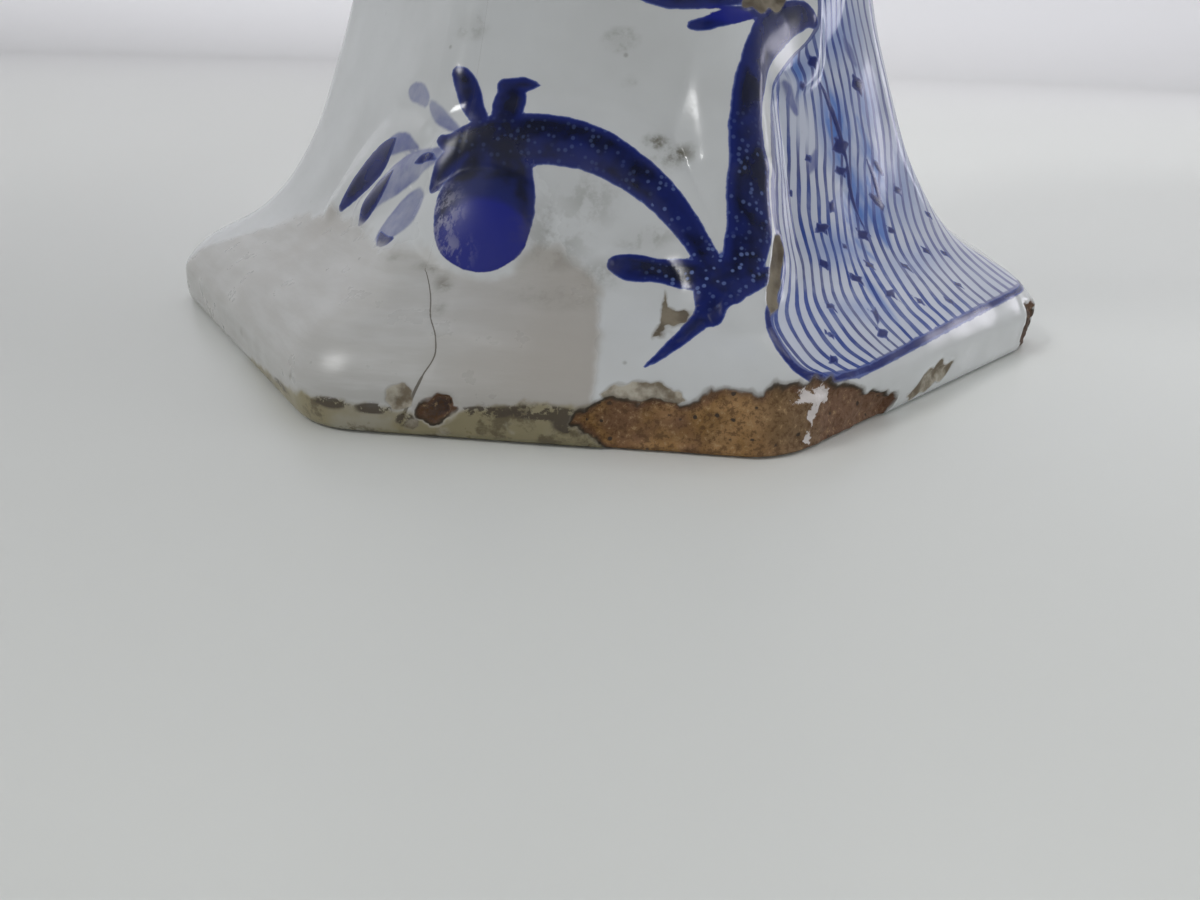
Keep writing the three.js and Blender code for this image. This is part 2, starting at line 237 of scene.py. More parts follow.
# %% Meshes from grids
def add_piece(name, grid, body, node_names, closed=False, fields=None):
    """Rings of points become a skin of quads; the first and last rings are capped, or joined if closed."""
    rows, cols = grid.shape[:2]
    across = np.arange(cols)
    beside = (across + 1) % cols
    start = (np.arange(rows if closed else rows - 1) * cols)[:, None]
    after = ((start // cols + 1) % rows) * cols
    quads = np.stack([start + across, start + beside, after + beside, after + across], -1).reshape(-1, 4)
    points = grid.reshape(-1, 3) * MM
    loops, sizes = quads.ravel(), np.full(len(quads), 4)
    if not closed:
        ends = np.stack([grid[0].mean(0), grid[-1].mean(0)]) * MM
        first, last = len(points), (rows - 1) * cols
        low = np.stack([np.full(cols, first), beside, across], -1)
        high = np.stack([np.full(cols, first + 1), last + across, last + beside], -1)
        loops = np.concatenate([loops, low.ravel(), high.ravel()])
        sizes = np.concatenate([sizes, np.full(2 * cols, 3)])
        points = np.vstack([points, ends])
    mesh = bpy.data.meshes.new(name)
    mesh.vertices.add(len(points))
    mesh.vertices.foreach_set("co", points.ravel())
    mesh.loops.add(len(loops))
    mesh.loops.foreach_set("vertex_index", loops.astype(np.int32))
    mesh.polygons.add(len(sizes))
    mesh.polygons.foreach_set("loop_start", np.concatenate([[0], np.cumsum(sizes)[:-1]]).astype(np.int32))
    mesh.polygons.foreach_set("use_smooth", np.ones(len(sizes), bool))
    mesh.update(calc_edges=True)
    mesh.validate()
    for field, values in (fields or {}).items():
        attribute = mesh.attributes.new(field, "FLOAT", "POINT")
        padded = np.concatenate([values, np.full(len(points) - len(values), values[0])])
        attribute.data.foreach_set("value", padded.astype(np.float32))
    piece = bpy.data.objects.new(name, mesh)
    scene.collection.objects.link(piece)
    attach(piece, body)
    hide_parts(*node_names)
    print(name, "has", len(sizes) * 2 if closed else 2 * len(quads) + 2 * cols, "triangles")
    return piece


def grid_normals(grid):
    """Outward directions of a ring grid: the step round crossed with the step up, made unit length."""
    round_step = np.roll(grid, -1, axis=1) - np.roll(grid, 1, axis=1)
    up_step = np.gradient(grid, axis=0)
    normal = np.cross(round_step, up_step)
    return normal / np.maximum(np.linalg.norm(normal, axis=2, keepdims=True), 1e-9)


def columns(spans):
    """Distances round the vase: each span (from, to, step) is cut into steps of nearly that size."""
    return np.concatenate([np.linspace(a, b, int(round((b - a) / step)), endpoint=False)
                           for a, b, step in spans])


def level_grid(profile, around):
    """Rings of the octagon for a profile of (half width, height) pairs."""
    xy = plan(around)[None] * (profile[:, :1, None] / FOOT_HALF)
    heights = np.broadcast_to(profile[:, 1, None, None], (len(profile), len(around), 1))
    return np.concatenate([xy, heights], 2)


def spread(profile, around):
    """Distance round and height of every point of such a grid, one number per point."""
    return (v.ravel() for v in np.broadcast_arrays(around[None, :], profile[:, 1][:, None]))


def facing_front(spots):
    """Points of the back half turned half round, so that front and back share one drawing."""
    half_turn = np.where(spots[:, 1:2] > 0, -1.0, 1.0)
    return spots * np.hstack([half_turn, half_turn, np.ones_like(half_turn)])


print("helpers for meshes are ready")

# %% [markdown]
# ## Practised motifs
# Painters of such ware learned a stock of strokes and flowers and moved them from pot to pot. Each motif
# here is drawn on a flat sheet in mm and then laid on the vase, where its width follows the vase's own
# swelling.

# %% Motifs on a flat sheet
def turned(points, x, y, heading, size=1.0):
    """Points (along, aside, half width) scaled, turned to a heading and moved to x, y; widths stay."""
    p = np.asarray(points, float)
    c, n = np.cos(heading), np.sin(heading)
    return np.column_stack([x + size * (p[:, 0] * c - p[:, 1] * n),
                            y + size * (p[:, 0] * n + p[:, 1] * c), p[:, 2]])


def blossom(x, y, radius, petals=6, lean=0.0, line=0.6):
    """Ring of notched petals with veins round a full middle; returns its lines and its inner washes."""
    wide = 6 / petals
    side = [(0.3, 0, 0.4), (0.6, 0.31 * wide, 0.9), (0.86, 0.36 * wide, 1), (1, 0.17 * wide, 1)]
    loop = side + [(0.9, 0, 0.8)] + [(u, -v, w) for u, v, w in side[::-1]]
    lines, washes = [], []
    for k in range(petals):
        seat = (x, y, lean + k * 2 * np.pi / petals, radius * (0.95 + 0.07 * np.sin(3 * k + lean)))
        lines.append(turned([(u, v, line * w) for u, v, w in loop], *seat))
        lines.append(turned([(0.32, 0, line), (0.52, 0, 0.6 * line), (0.68, 0, 0.05)], *seat))
        lines.append(turned([(0.4, 0.1, 0.7 * line), (0.6, 0.17, 0.05)], *seat))
        washes.append(turned([(0.42, -0.1, 0.1 * radius), (0.84, -0.18, 0.13 * radius)], *seat))
    lines.append(turned([(-0.1, 0, 0.14 * radius), (0.1, 0.04, 0.13 * radius)], x, y, lean, radius))
    return lines, washes


def leaf(x, y, heading, length, fullness=0.17):
    """One press of the brush: thin, swelling, thin again, along a slightly bent line."""
    shape = [(0, 0, 0.12), (0.3, 0.05, 0.7), (0.55, 0.06, 1), (0.8, 0.02, 0.66), (1, -0.05, 0.06)]
    return turned([(u, v, w * length * fullness) for u, v, w in shape], x, y, heading, length)


def fan(x, y, heading, length, opening=0.5):
    """Three leaves side by side from one place, the middle one longest."""
    return [leaf(x, y, heading + opening * k, length * (1 - 0.14 * abs(k)), 0.16) for k in (-1, 0, 1)]


def tendril(x, y, heading, size, sense=1):
    """Curl whose heading turns ever faster while its steps shorten: the sum of its steps is its path."""
    t = np.linspace(0, 1, 10)
    angle = heading + sense * 4.4 * t**1.4
    step = size * 0.3 * (1 - 0.8 * t)
    path = np.cumsum(np.column_stack([step * np.cos(angle), step * np.sin(angle)]), axis=0)
    return np.column_stack([x + path[:, 0], y + path[:, 1], 0.9 * (1 - 0.5 * t)])


def placed(strokes, around, height, size=1.0):
    """Flat strokes laid on the vase about a point: sideways mm are widened to the scale of that level."""
    out = []
    for stroke in strokes:
        flat = np.asarray(stroke, float)
        up = height + flat[:, 1] * size
        aside = flat[:, 0] * size * FOOT_HALF / half_width(up)
        out.append(np.column_stack([around + aside, up, flat[:, 2] * size]))
    return out


SPRIG = [[(0, -5, 0.8), (0.6, 4, 0.7), (0, 13, 0.6)], leaf(0, -3, 0.6, 9, 0.2), leaf(0, -3, 2.5, 9, 0.2),
         leaf(0.4, 4, 0.8, 7, 0.2), leaf(0.4, 4, 2.3, 7, 0.2)] + fan(0, 13, np.pi / 2, 8, 0.6)
print("motifs are ready")

# %% [markdown]
# ## The foot
# The foot was pressed in a mould: a low upright band, a steep flare, and raised scrolls that the mould
# gave it. Its outline is run through a narrow blur so that the edges have the roundness that thick glaze
# leaves.

# %% Rows of the foot, from the hollow underneath round the standing ring and up to the waist
def even_path(path, step):
    """The same path with points an equal distance apart."""
    run = np.concatenate([[0], np.cumsum(np.linalg.norm(np.diff(path, axis=0), axis=1))])
    at = np.linspace(0, run[-1], max(2, int(run[-1] / step) + 1))
    return np.column_stack([np.interp(at, run, path[:, k]) for k in range(path.shape[1])])


def blurred(path, step, width):
    """Evenly spaced path, each point the bell-weighted mean of those within a few widths; ends held."""
    even = even_path(path, step)
    reach = int(3 * width / step)
    bell = np.exp(-0.5 * (np.arange(-reach, reach + 1) * step / width) ** 2)
    padded = np.vstack([np.repeat(even[:1], reach, 0), even, np.repeat(even[-1:], reach, 0)])
    soft = np.column_stack([np.convolve(padded[:, k], bell / bell.sum(), "valid") for k in range(2)])
    soft[0], soft[-1] = even[0], even[-1]
    return soft


FOOT_WALL, HOLLOW_HEIGHT, HOLLOW_HALF, HOLLOW_EDGE, RING_HALF = 4.0, 44.0, 52.0, 52.6, 54.5
flare = np.array([(half_width(h), h) for h in np.linspace(BAND, WAIST, 120)])
outside = even_path(blurred(np.vstack([[(RING_HALF, 0), (FOOT_HALF, 0)], flare]), 0.1, 0.75), 0.43)
hollow_heights = np.linspace(0, 1, 18) ** 1.3 * HOLLOW_HEIGHT
hollow_halves = np.minimum(half_width(hollow_heights + FOOT_WALL) - FOOT_WALL, HOLLOW_HALF)
hollow = np.column_stack([hollow_halves, hollow_heights])[::-1]
hollow[-1] = (HOLLOW_EDGE, 0.0)
foot_rows = np.vstack([hollow, outside])
FRONT_FROM, FRONT_TO = -62, 84
foot_around = columns([(FRONT_FROM, FRONT_TO, 0.44), (FRONT_TO, GIRTH + FRONT_FROM, 1.3)])
foot_grid = level_grid(foot_rows, foot_around)
print("foot grid:", foot_grid.shape)

# %% [markdown]
# ## Relief and painting of the foot
# The painter followed the moulded scrolls with a loaded brush: a C-shaped scroll that curls into a ball
# on the left, an S-shaped scroll up the right arris, leaf strokes fanning to the left, and beyond the
# arris a panel of fine lines like running water, with short dabs where they pinch. Each stroke here is a
# few given points: distance round the foot, height, and half the brush's width, all in mm.

# %% Raised scrolls of the foot
BALL, BALL_RADIUS, BALL_RISE = (-12.7, 17.9), 7.6, 2.7
foot_ridges = [
    ([(18.5, 13, 4), (18, 16, 5), (16, 19, 6), (12, 21.4, 6)], 1.2, 1.7),
    ([(12, 21.4, 6), (6, 23.6, 6), (-1, 24.8, 6), (-8, 25, 6), (-15, 24.6, 5.4),
      (-20, 22.5, 4.4)], 1.6, 1.2),
    ([(21, 11.5, 3.6), (23.6, 14, 5.6), (26, 17, 7)], 1, 2.4),
    ([(26, 17, 7), (26.6, 20, 7.6), (27, 23, 7.9)], 2.4, 3.1),
    ([(27, 23, 7.9), (27.5, 26, 7.7), (28.2, 29, 7), (29, 32, 6.4)], 3.1, 2),
    ([(29, 32, 6.4), (31, 34.4, 6.2), (35, 36, 6), (40, 37.2, 5.6)], 2, 1),
    ([(39, 37, 5.6), (44, 38, 5.4), (51, 38.8, 5), (58, 41, 4.4), (64, 45, 3)], 1, 0.6),
    ([(42, 31.4, 2), (47, 32, 2.2), (51.5, 34, 2.4), (54, 38, 2.6), (56, 44, 2.4)], 0.7, 0.8),
    ([(7, 14.3, 3), (12, 14, 3.4), (17, 13.2, 3)], 0.5, 0.5),
    ([(-50, 16.5, 3), (-46, 19.6, 4.4), (-41, 22.4, 4.6), (-35, 24.2, 4), (-28, 25, 2.6)], 0.6, 0.6),
    ([(-39.5, 17.2, 2.6), (-35, 19, 3.6), (-30, 21.2, 3.6), (-24, 23, 2.4)], 0.55, 0.55),
    ([(44, 15, 6), (46, 22, 8), (49, 29, 7)], 0.35, 0.35),
    ([(58, 22, 7), (61, 31, 8)], 0.3, 0.3),
    ([(50, 11.5, 6), (62, 12.5, 7), (70, 14, 6)], 0.3, 0.3),
]
print("raised scrolls:", len(foot_ridges))

# %% Bold brush strokes of the foot
foot_strokes = [
    [(-29.8, 15.4, 0.4), (-28.4, 15, 0.8), (-26.8, 15.1, 0.7), (-25.4, 15.6, 0.2)],
    [(19.4, 12.6, 1.7), (18.7, 14.8, 1.35), (17, 17.2, 1.5), (14.6, 19.4, 1.75), (11.4, 21.4, 2),
     (7.5, 23.1, 2.25), (3, 24.5, 2.5), (-2, 25.2, 2.7), (-7, 25.3, 2.8), (-12, 25.2, 2.7),
     (-16, 24.9, 2.2), (-19.4, 24.6, 1.2), (-21.6, 25, 0.6)],
    [(-17.6, 24, 1.4), (-19.6, 22.4, 1.1), (-20.6, 20.3, 0.7)],
    [(-12, 21.5, 4.2), (-12.2, 18.6, 5.2), (-12, 16.6, 5)],
    [(-21.6, 31.8, 0.7), (-20.2, 31.2, 1.2), (-18.9, 29.9, 1.35), (-17.6, 28.4, 1.2), (-16, 27.2, 1)],
    [(-11.6, 27.4, 1.7), (-11.6, 29, 1.8), (-11.4, 29.9, 1.5)],
    [(-13, 30.6, 0.8), (-9.8, 30.8, 0.85), (-6.8, 30.9, 0.12)],
    [(-46.6, 16.2, 0.7), (-44.8, 18, 1.5), (-42.2, 19.9, 2), (-39.4, 21.7, 2), (-36.8, 23.2, 1.2),
     (-35, 24.2, 0.3)],
    [(-37.6, 15.8, 0.8), (-36.8, 17.2, 1.5), (-35.4, 18.7, 1.6), (-34, 20, 1), (-33, 21, 0.3)],
    [(-26, 22.5, 0.15), (-24.4, 23, 0.6), (-23, 23.2, 0.6), (-21.6, 23, 0.2)],
    [(20.2, 12.3, 1.7), (21.6, 13.4, 1.9), (23.4, 15.4, 2.1), (24.6, 18, 2.15), (24.9, 20.5, 2.1),
     (25.3, 22.8, 1.95), (25.3, 25.2, 1.75), (25.8, 27.6, 1.7), (27.2, 30.4, 1.9), (29.4, 32.8, 2.15),
     (32.6, 34.9, 2.3), (37, 36.6, 2.4), (43, 37.9, 2), (49, 38.6, 1.5), (52, 38, 0.8)],
    [(7, 42.5, 0.8), (10, 41, 1.6), (15, 40.3, 1.9), (22, 40.4, 1.9), (29, 41, 1.8), (36, 43, 1.4),
     (42, 46, 0.7)],
    [(19, 37, 0.5), (21.5, 37.2, 0.75), (26, 37.9, 0.9), (31, 38.3, 0.8), (36, 38.3, 0.5)],
    [(7, 14.5, 1.2), (9, 14.3, 1.75), (11.5, 14.2, 1.55), (14, 14, 1.6), (17, 13.6, 1.8), (19, 13.4, 1.8)],
    [(9.6, 7.9, 0.15), (11.5, 8.8, 0.55), (14, 9.9, 0.85), (16.6, 11, 1.2), (19.2, 12, 1.5),
     (22, 12.8, 1.5), (24.6, 13.3, 1), (26.4, 13.6, 0.5)],
    [(17.6, 11, 1.2), (18.6, 12.4, 2), (20, 13.8, 2.3)],
    [(26.6, 12.2, 0.2), (24.4, 11.1, 0.4), (24.1, 9.5, 0.55), (24.8, 8.2, 0.55), (26.2, 7.3, 0.65),
     (28.4, 6.8, 0.4)],
    [(52.4, 32, 0.2), (54.2, 29.4, 0.5), (55.6, 26.4, 0.5), (55.8, 23, 0.3), (54.6, 20, 0.42),
     (54.4, 17.4, 0.3), (55, 15, 0.12)],
    [(62.4, 23, 0.15), (63, 20.8, 0.5), (62.6, 18.8, 0.4), (62.2, 17, 0.12)],
    [(30, 6.4, 0.35), (36, 6.15, 0.42), (42, 6.4, 0.46), (50, 6.8, 0.45), (60, 7.2, 0.45),
     (72, 7.6, 0.42), (81, 7.9, 0.4)],
]
dabs = [(42.9, 16.7, 4.4, 0.3, 0.55), (47.4, 18.6, 2.2, 1.2, 0.5), (53.4, 22.1, 4.4, 0.1, 0.5),
        (55.2, 24.7, 5.4, 0.5, 0.85), (53.2, 15.4, 3.4, 0.3, 0.6), (61.5, 18.4, 3.8, -1.6, 0.75),
        (65.6, 22, 2.4, -2, 0.6), (65.3, 31.4, 4.6, 0.1, 0.9), (44.6, 11.9, 2.6, -0.2, 0.5),
        (39.9, 13.6, 2.4, -0.3, 0.5), (35.8, 10.7, 1.8, 0.1, 0.36), (32.5, 9.2, 2, -0.1, 0.34),
        (41, 8.2, 2.6, 0.2, 0.5), (42.4, 9.4, 2, 1, 0.4), (48.2, 10.3, 3, 0.3, 0.45),
        (49.6, 12.6, 2, 0.1, 0.5), (58.8, 8.8, 1.8, 0, 0.4), (66.3, 12.6, 2, 0.1, 0.45),
        (69.6, 19.2, 2.6, 0.1, 0.5), (70.4, 12, 1.8, 0, 0.4), (50.2, 33.8, 3.2, 0.8, 0.6),
        (38, 20.6, 1.8, 0.6, 0.3), (46.6, 14.6, 1.6, 0.2, 0.36), (57.4, 11.8, 2, 0, 0.45),
        (61.3, 15.2, 2.2, 0.2, 0.42), (75, 16, 2, 0, 0.42), (52.8, 9.4, 1.6, 0.1, 0.4),
        (64.6, 9.7, 1.6, 0, 0.4), (31, 7.7, 1.8, 0.2, 0.4), (45.6, 31.2, 2.6, 0.3, 0.4),
        (44.8, 23.8, 2, 0.2, 0.35)]
foot_strokes += [[(a - n / 2, h - tilt / 2, 0.12), (a, h, half), (a + n / 2, h + tilt / 2, 0.12)]
                 for a, h, n, tilt, half in dabs]
foot_strokes += [[(a - 0.3 * n, h + 1.4 * half, 0.08), (a, h, 0.8 * half),
                  (a + 0.2 * n, h - 1.7 * half, 0.06)]
                 for a, h, n, _, half in dabs]
pale_strokes = [
    [(-35.6, 29.6, 0.6), (-33.8, 29.5, 1.15), (-30.8, 29.3, 1.2), (-28.4, 28.7, 0.8)],
    [(-26.6, 28.6, 0.5), (-23.8, 27.6, 0.95), (-19.6, 26.1, 0.6)],
    [(-38.4, 22.8, 1), (-34.8, 23.8, 1.4), (-31, 24.2, 1.1), (-27, 24, 0.4)],
    [(-37.4, 16.6, 1), (-35, 18.8, 2.1), (-31, 20.6, 2.4), (-26.4, 22.2, 2), (-21.6, 23.4, 1)],
    [(-29.2, 15.5, 1.2), (-27.4, 16.5, 2.2), (-25.6, 17.9, 2.3), (-24.2, 19.3, 1.4)],
    [(40.6, 31.5, 0.5), (42.4, 30, 0.8), (43.4, 28.6, 0.5)],
    [(47.4, 24.4, 0.4), (45.6, 23.2, 0.7), (44, 22.4, 0.4)],
    [(64, 36.6, 0.4), (65, 35, 0.9), (66, 33.6, 0.4)],
]
print("bold strokes:", len(foot_strokes), "pale strokes:", len(pale_strokes))

# %% The panel of running-water lines
PANEL_LEFT = spline([(6, 30), (7.5, 26.5), (8.5, 25), (10, 24.3), (11.2, 25), (12.5, 27.4), (14, 29),
                     (16, 28.8), (18, 28.6), (20, 29), (22, 29.6), (25, 30.8), (28, 32.8), (30, 35),
                     (32.5, 39.5), (34.5, 45), (36, 50), (38, 53.5), (41, 55)], 6)
MIDDLE_LINE = spline([(6, 47.4), (8, 45.8), (9.5, 45.6), (12.5, 48.4), (15, 50.7), (17.5, 53.2),
                      (20, 55.6), (22.5, 57.8), (25, 59.6), (30, 61), (35, 61), (41, 60.5)], 6)
LINES_TO_MIDDLE, STEP_BEYOND, PINCH_HEIGHT = 11, 2.45, 26


def water_lines(around, height):
    """Line count: even steps from the panel's left edge to its middle line, then steps of their own.

    Above PINCH_HEIGHT the steps no longer narrow, so the lines run up under the scroll and end there.
    """
    level = np.minimum(height, PINCH_HEIGHT)
    first = np.interp(level, PANEL_LEFT[:, 0], PANEL_LEFT[:, 1])
    step = (np.interp(level, MIDDLE_LINE[:, 0], MIDDLE_LINE[:, 1]) - first) / LINES_TO_MIDDLE
    beyond = around - np.interp(height, MIDDLE_LINE[:, 0], MIDDLE_LINE[:, 1])
    count = LINES_TO_MIDDLE + beyond / np.where(beyond < 0, step, STEP_BEYOND)
    return count + 0.06 * np.sin(height * 0.7 + around * 0.5) + 0.02 * np.sin(height * 1.7 - around * 0.9)


def panel_inside(around, height):
    """Positive inside the panel: the least distance to its left edge, bottom line and far side, in mm."""
    scale = half_width(height) / FOOT_HALF
    left = (around - np.interp(height, PANEL_LEFT[:, 0], PANEL_LEFT[:, 1])) * scale
    bottom = height - np.interp(around, [26, 34, 42, 60, 80], [7, 6.1, 6.4, 7.2, 7.9])
    return np.minimum.reduce([left, bottom, (81 - around) * scale])


print("lines on the right facet:", int(np.ptp(water_lines(np.array([25.0, 80.0]), np.array([10.0, 10.0])))))

# %% [markdown]
# ## Damage and old repairs
# The standing edge has lost flakes of glaze down to the brown biscuit, with a little white plaster left
# in them; the white streak running down from that plaster is a painted highlight. The left corner and a
# piece beside it are a restorer's fill under grey, streaky paint, parted by a crack. Chips are cut into
# the mesh, because a dark patch without depth never looks like a chip; the dark rim inside each flake is
# painted shadow.

# %% Outlines of the losses and fills
def outline_distance(along, up, corners):
    """Signed flat distance to a closed outline, negative inside (crossing count for the sign)."""
    p = np.stack([along, up], -1)
    corners = np.asarray(corners, float)
    inside = np.zeros(along.shape, bool)
    best = np.full(along.shape, 1e9)
    for a, b in zip(corners, np.roll(corners, -1, axis=0)):
        d = b - a
        t = np.clip(((p - a) @ d) / (d @ d), 0, 1)
        best = np.minimum(best, np.linalg.norm(p - a - t[..., None] * d, axis=-1))
        spans = (a[1] > p[..., 1]) != (b[1] > p[..., 1])
        inside ^= spans & (p[..., 0] < (b[0] - a[0]) * (p[..., 1] - a[1]) / (b[1] - a[1] + 1e-12) + a[0])
    return np.where(inside, -best, best)


biscuit_outlines = [
    [(8, -2), (5.4, 0.8), (4.4, 2), (2.4, 2.6), (3.2, 3.9), (5, 4.8), (6.6, 5.5), (9, 5.2), (11, 5.4),
     (12.6, 5.1), (14.5, 5.6), (16, 6.3), (18.6, 6.7), (20.4, 6.2), (22, 6.8), (24, 7), (26, 6.9),
     (28.6, 6.5), (31, 5.8), (34, 4.8), (37, 3.8), (40, 2.9), (41.8, 1.8), (40.6, 0.4), (40, -2)],
    [(74.6, -2), (73.8, 2.5), (74, 4.6), (75, 6.2), (77.6, 6.4), (80, 5), (82, -2)],
    [(-12.2, 2.5), (-11.6, 3.9), (-10.2, 4.9), (-8.9, 4.5), (-8.1, 3.5), (-8.7, 2.4), (-10.6, 1.8)],
]
shallow_outlines = [
    [(24.6, 10.9), (26.4, 11.4), (28.4, 12.6), (29.8, 14.2), (30.2, 15.6), (29.7, 16.6), (28.2, 16.3),
     (26.8, 15.2), (25.4, 13.4), (24.4, 12)],
    [(10.4, 9.6), (11.4, 9.7), (14.5, 10.7), (17, 11.8), (14.6, 11.7), (13.3, 12.1), (12.9, 12.9),
     (12.3, 12), (11.6, 10.8)],
    [(-15.2, 3.6), (-14.8, 4.8), (-13.6, 5.4), (-12.6, 5.1), (-12.7, 3.8), (-13.4, 3), (-14.4, 2.9)],
    [(-13.4, 2), (-12.4, 2.2), (-11.8, 1.5), (-12.6, 1), (-13.4, 1.2)],
    [(5.4, 5.6), (7, 6.4), (9, 6.8), (11, 6.8), (13, 6.2), (13.7, 5.4), (11, 5.2), (8, 5.1)],
    [(43, 1.6), (45, 2), (46.5, 3.1), (48.4, 3.7), (50.4, 4.1), (52, 3.6), (54.6, 3.4), (53.4, 2.2),
     (50, 1.2), (46, 0.8)],
    [(28.6, 38.8), (31, 40.4), (36, 40.6), (42, 41), (45, 40), (40, 38.6), (34, 38)],
]
# White plaster in the large flake; its thin tail running down is a painted highlight in the same white.
plaster_and_highlight_outline = [(24.4, 5.8), (25.4, 6.5), (27.6, 6.3), (30.2, 5.4), (29.4, 4.8), (28.2, 4.6),
                   (27.2, 3.2), (26.9, 1), (26.3, 1), (26.4, 3.2), (27.2, 4.6), (25.4, 5.1)]
fill_outline = [(4.8, -3), (4.9, 7), (5, 12.2), (3, 14.4), (-1, 15.6), (-4, 16), (-7, 16), (-9.6, 15.4),
                (-13, 15.2), (-17, 15.4), (-20, 15), (-24, 14.8), (-28, 14.6), (-38, 15.6), (-50, 15.4),
                (-60, 14), (-70, 9.8), (-76, 6), (-80, -3)]
CRACK = spline([(0, -14), (1.2, -13.9), (2.7, -13.4), (4.4, -12.5), (6.1, -11.8), (7.6, -11.2),
                (8.9, -12), (10.1, -13.8), (11.3, -15.2), (13.4, -18)], 6)


def crack_offset(around, height):
    """Sideways distance from the crack in units of its half width, which narrows upwards; 1 at its edge."""
    aside = (around - np.interp(height, CRACK[:, 0], CRACK[:, 1])) * half_width(height) / FOOT_HALF
    return aside / np.interp(height, [0, 5.8, 6.4, 11, 13.2, 13.6], [0.24, 0.15, 0.075, 0.07, 0.05, 0.005])


print("losses:", len(biscuit_outlines) + len(shallow_outlines))

# %% Shape the foot and store what the paint needs
def nearest(outlines, rag):
    """Signed distance of the foot's points to the nearest of several outlines, made ragged."""
    return np.minimum.reduce([outline_distance(foot_a, foot_h, o) for o in outlines]).ravel() + rag


def shaped(grid, lift):
    """Grid moved along its own outward directions."""
    return grid + grid_normals(grid) * lift[..., None]


def held_down(height, rise):
    """Fades a height out towards the standing line, so that the foot still stands flat."""
    return rise * np.clip(height / 2.5, 0, 1)


NO_PAINT, AGED_ABOVE = 5.0, 8.5
foot_signed = (foot_around + GIRTH / 2) % GIRTH - GIRTH / 2
foot_a, foot_h = np.broadcast_arrays(foot_signed[None, :], foot_rows[:, 1][:, None])
outer = (np.arange(len(foot_rows)) >= len(hollow)).repeat(len(foot_around))
foot_fold = np.mod(foot_a + GIRTH / 4, GIRTH / 2) - GIRTH / 4
spots = foot_grid.reshape(-1, 3)
same = facing_front(spots)
relief = ridge_height(same, foot_ridges)
for middle in SIDES:
    foot_strokes += placed(SPRIG, middle, 14)
ball_middle = on_vase(np.array(BALL[0]), np.array(BALL[1]))
ball_gap = np.linalg.norm(same - ball_middle, axis=1) / BALL_RADIUS
relief = np.maximum(relief, BALL_RISE * np.clip(1 - ball_gap**2, 0, 1) ** 1.25)
rag = 0.55 * ripple(spots, 2.2, 1) + 0.25 * ripple(spots, 0.9, 2)
bare = nearest(biscuit_outlines, rag * 0.5)
shallow = nearest(shallow_outlines, rag * 0.5)
fill = nearest([fill_outline], rag * 0.3)
plaster_and_highlight = nearest([plaster_and_highlight_outline], rag * 0.3)
crack = crack_offset(foot_a, foot_h).ravel()
ink = stroke_distance(same, [trace(s) for s in foot_strokes])
pale = stroke_distance(same, [trace(s) for s in pale_strokes])
fill = np.where(ball_gap < 1.2, np.maximum(fill, 0.8 - 1.2 * ink), fill)
shallow += 0.22 * (foot_h.ravel() > AGED_ABOVE)
for field in (bare, shallow, fill, crack, ink, pale, plaster_and_highlight):
    field[~outer] = NO_PAINT
print("points:", len(spots), "painted:", int((ink < 0).sum()), "bare:", int((bare < 0).sum()))

# %% Soft areas: grime and painted shade, the stained standing edge, washes between the lines and the cobalt of the ball
def patches(spots, ovals):
    """Strongest of several soft ovals: (around, height, wide, tall, strength)."""
    return np.maximum.reduce([patch(spots, *oval[:4], soft=0.8) * oval[4] for oval in ovals])


# Dark dirt spots on the glaze and in the fill, and broad faint patches below the raised arc that are
# painted shade.
grime_and_shade = patches(spots, [
    (12.8, 25.7, 1.9, 1.3, 1), (16, 24.6, 2.4, 1.5, 1), (14, 24, 3, 2, 0.5), (6.5, 35.4, 2.4, 1.6, 0.6),
    (-20.6, 36.4, 2.4, 1.9, 0.5), (8.3, 31.5, 1, 0.8, 0.6), (-2, 16.5, 5, 6, 0.42),
    (2.6, 20, 4.5, 4, 0.36), (4.5, 13.6, 3, 3, 0.4), (-1, 12, 6, 3, 0.3), (11, 16.8, 4, 1.6, 0.45),
    (-45.5, 3.7, 0.7, 0.7, 1.4), (-17, 13.4, 2.6, 1.2, 0.5), (-14.6, 12.2, 1.4, 1.6, 0.6),
    (-13.4, 10.6, 1, 2, 0.45), (-23, 14, 3, 0.8, 0.35), (-26.5, 4.6, 0.4, 0.4, 1.2)])
worn = patches(same, [(*BALL, 11, 12, 1)])
pinholed = patches(same, [(19, 14, 8, 5, 1.2), (25, 20, 5, 12, 0.6), (0, 25, 22, 4, 0.3),
                          (12, 19.5, 6, 5, 0.8)])
wash = patches(same, [(55, 26, 5, 8, 1.3), (61, 21, 6, 7, 1.3), (54, 17.6, 5, 4, 1.1),
                      (66, 30, 6, 7, 0.7), (46, 14.5, 8, 4, 0.65), (45, 33, 7, 5, 0.6),
                      (60, 37, 10, 6, 0.6), (70, 20, 8, 8, 0.5), (40, 10, 6, 3, 0.4),
                      (60, 12, 12, 4, 0.35)])
wash_strokes = [
    [(54, 33, 1), (55.4, 28, 1.9), (56, 23, 2), (54.8, 17, 1)],
    [(62.4, 27.6, 1.2), (62, 22.4, 2.8), (60, 18, 2.6), (57.6, 14, 1.2)],
    [(50.6, 18, 0.8), (51, 15.4, 1.6), (52, 12.6, 0.6)],
    [(46, 36, 1), (45, 32.6, 1.5), (45, 30, 0.6)],
    [(47, 13, 0.6), (45.6, 10.6, 1), (45, 8.6, 0.5)],
]
wash = np.maximum(wash, np.clip(-stroke_distance(same, [trace(s) for s in wash_strokes]), 0, 1))
